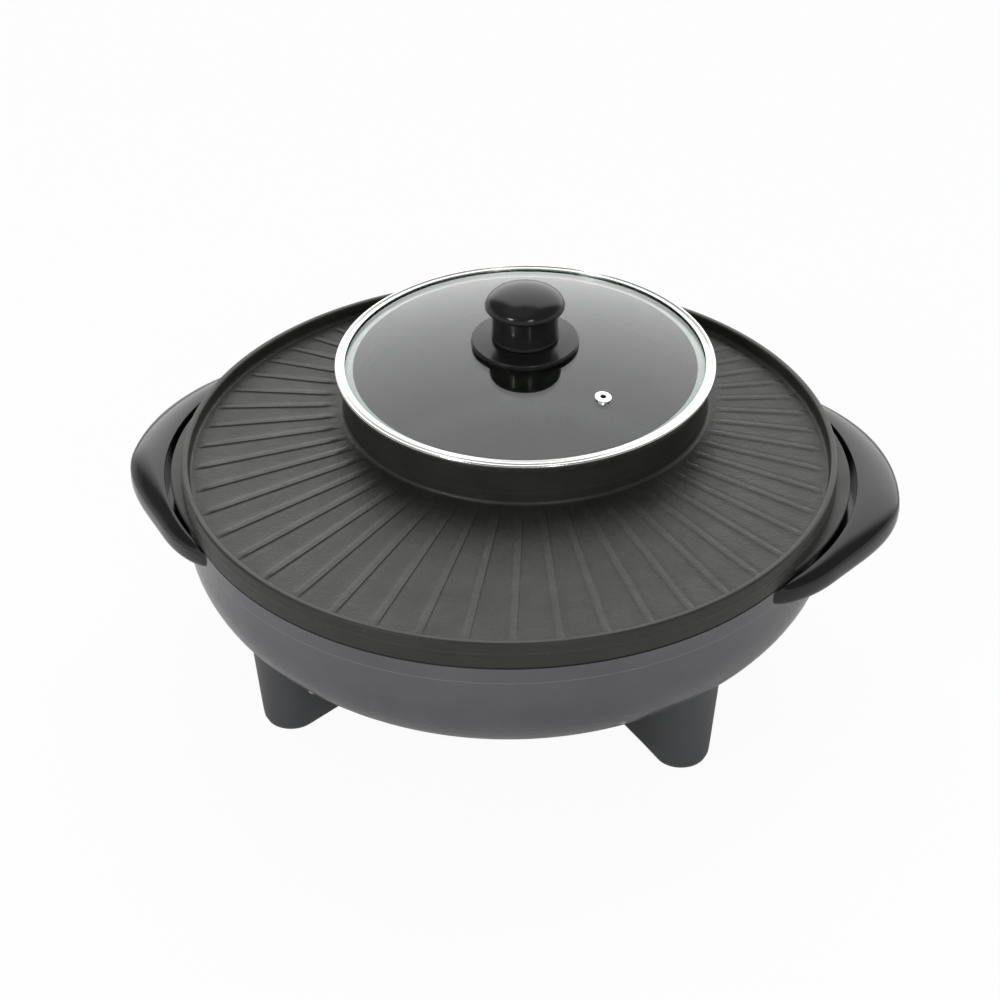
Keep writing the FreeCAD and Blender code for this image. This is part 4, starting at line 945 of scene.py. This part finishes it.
def panRings(shape):
    columns = panColumns(shape)
    px, py = shape["potMiddle"]
    start = shape["grillStart"]
    inner = []
    outer = []
    turns = []
    for angle, offset, tall in columns:
        turn = math.radians(angle)
        lean = turn + math.asin(offset / start)
        turns.append(lean)
        inner.append((px + start * math.cos(lean), py + start * math.sin(lean)))
        ox = px - offset * math.sin(turn)
        oy = py + offset * math.cos(turn)
        along = ox * math.cos(turn) + oy * math.sin(turn)
        reach = -along + math.sqrt(along * along - ox * ox - oy * oy + shape["lipFoot"] ** 2)
        outer.append((ox + reach * math.cos(turn), oy + reach * math.sin(turn)))

    def potRing(radius, height):
        return [(px + radius * math.cos(turn), py + radius * math.sin(turn), height) for turn in turns]

    def panRing(radius, height):
        ring = []
        for x, y in outer:
            far = math.hypot(x, y)
            ring.append((x / far * radius, y / far * radius, height))
        return ring

    mouth = shape["mouth"]
    wall = mouth + shape["potWall"]
    floor = shape["floorHeight"]
    top = shape["grillTop"]
    potInside = roundedProfile([(20.0, floor, 0), (shape["floorRadius"], floor, 18.0),
                                (mouth, shape["collarTop"] - 9.6, 4.0), (mouth, shape["collarTop"], 1.2),
                                (wall, shape["collarTop"], 1.8), (wall + 0.6, top, 4.0), (start, top, 0)],
                               7, False)
    rings = [potRing(radius, height) for radius, height in potInside]
    for row in range(1, shape["rows"]):
        share = row / shape["rows"]
        ring = []
        for (x0, y0), (x1, y1), (angle, offset, tall) in zip(inner, outer, columns):
            length = math.hypot(x1 - x0, y1 - y0)
            fade = min(1.0, share * length / shape["fadeIn"], (1 - share) * length / shape["fadeOut"])
            if length < shape["shortFrom"]:
                fade *= max(0.0, (length - shape["shortTo"]) / (shape["shortFrom"] - shape["shortTo"]))
            ring.append((x0 + (x1 - x0) * share, y0 + (y1 - y0) * share,
                         top + tall * fade * fade * (3 - 2 * fade)))
        rings.append(ring)
    radius = shape["radius"]
    lip = roundedProfile([(shape["lipFoot"], top, 0), (185.2, top, 2.3), (186.0, shape["lipTop"], 1.4),
                          (radius, shape["lipTop"], 1.6), (radius, shape["bandFoot"], 0.8),
                          (shape["bandInner"], shape["bandFoot"], 0.8),
                          (shape["bandInner"], shape["grillUnder"], 0.4),
                          (shape["lipFoot"] - 1, shape["grillUnder"], 0)], 6, False)
    rings += [panRing(distance, height) for distance, height in lip]
    under = floor - shape["floorThick"]
    potOutside = roundedProfile([(wall + 2.5, shape["grillUnder"], 0), (wall, shape["grillUnder"] - 2.5, 0),
                                 (shape["floorRadius"] + shape["potWall"], under, 22.6), (20.0, under, 0)],
                                7, False)
    rings += [potRing(distance, height) for distance, height in potOutside]
    return rings


def makePan(shape, bosses):
    rings = [[(x / 1000, y / 1000, z / 1000) for x, y, z in ring] for ring in panRings(shape)]
    count = len(rings[0])
    verts, faces = loftedMesh(rings)
    faces = faces[:-2]
    px, py = shape["potMiddle"]
    floor = shape["floorHeight"]
    for first, height in ((0, floor), (len(verts) - count, floor - shape["floorThick"])):
        middle = len(verts)
        verts.append((px / 1000, py / 1000, height / 1000))
        for step in range(count):
            faces.append((first + (step + 1) % count, first + step, middle))
    for radius, low, high, ring, (mx, my), angles in bosses.values():
        for angle in angles:
            turn = math.radians(angle)
            place = ((mx + ring * math.cos(turn)) / 1000, (my + ring * math.sin(turn)) / 1000, 0)
            profile = [(0, low), (radius, low), (radius, high), (0, high)]
            appendMesh(verts, faces, *turnedMesh(profile, place, 32))
    return addPiece("grillPanFace", verts, faces, "pan_coating", "base", "grill_pan", sharp=50)


makePan(panShape, panBosses)


# Ears of the pan beside the handles: thin crescents with a rounded edge

earShape = {"half": 27.0, "end": 190.2, "middle": 198.0, "root": 188.0, "low": 123.7, "high": 126.7,
            "turn": 2.5, "sections": 41}


def makeEar(name, shape, facing):
    rings = []
    for index in range(shape["sections"]):
        angle = shape["half"] * (2 * index / (shape["sections"] - 1) - 1)
        edge = max(arcRadius(angle, shape["half"], shape["end"], shape["middle"]), shape["end"])
        soft = min(1.2, (edge - shape["root"]) * 0.3)
        low, high = shape["low"], shape["high"]
        outline = roundedProfile([(shape["root"], low, 0), (edge, low, soft), (edge, high, soft),
                                  (shape["root"], high, 0)], 5)
        turn = math.radians(angle + facing + shape["turn"])
        rings.append([(radius / 1000 * math.cos(turn), radius / 1000 * math.sin(turn), height / 1000)
                      for radius, height in outline])
    verts, faces = loftedMesh(rings)
    return addPiece(name, verts, faces, "pan_coating", "base", sharp=60)


makeEar("panEarRight", earShape, 0)
makeEar("panEarLeft", earShape, 180)
print("pan ready")
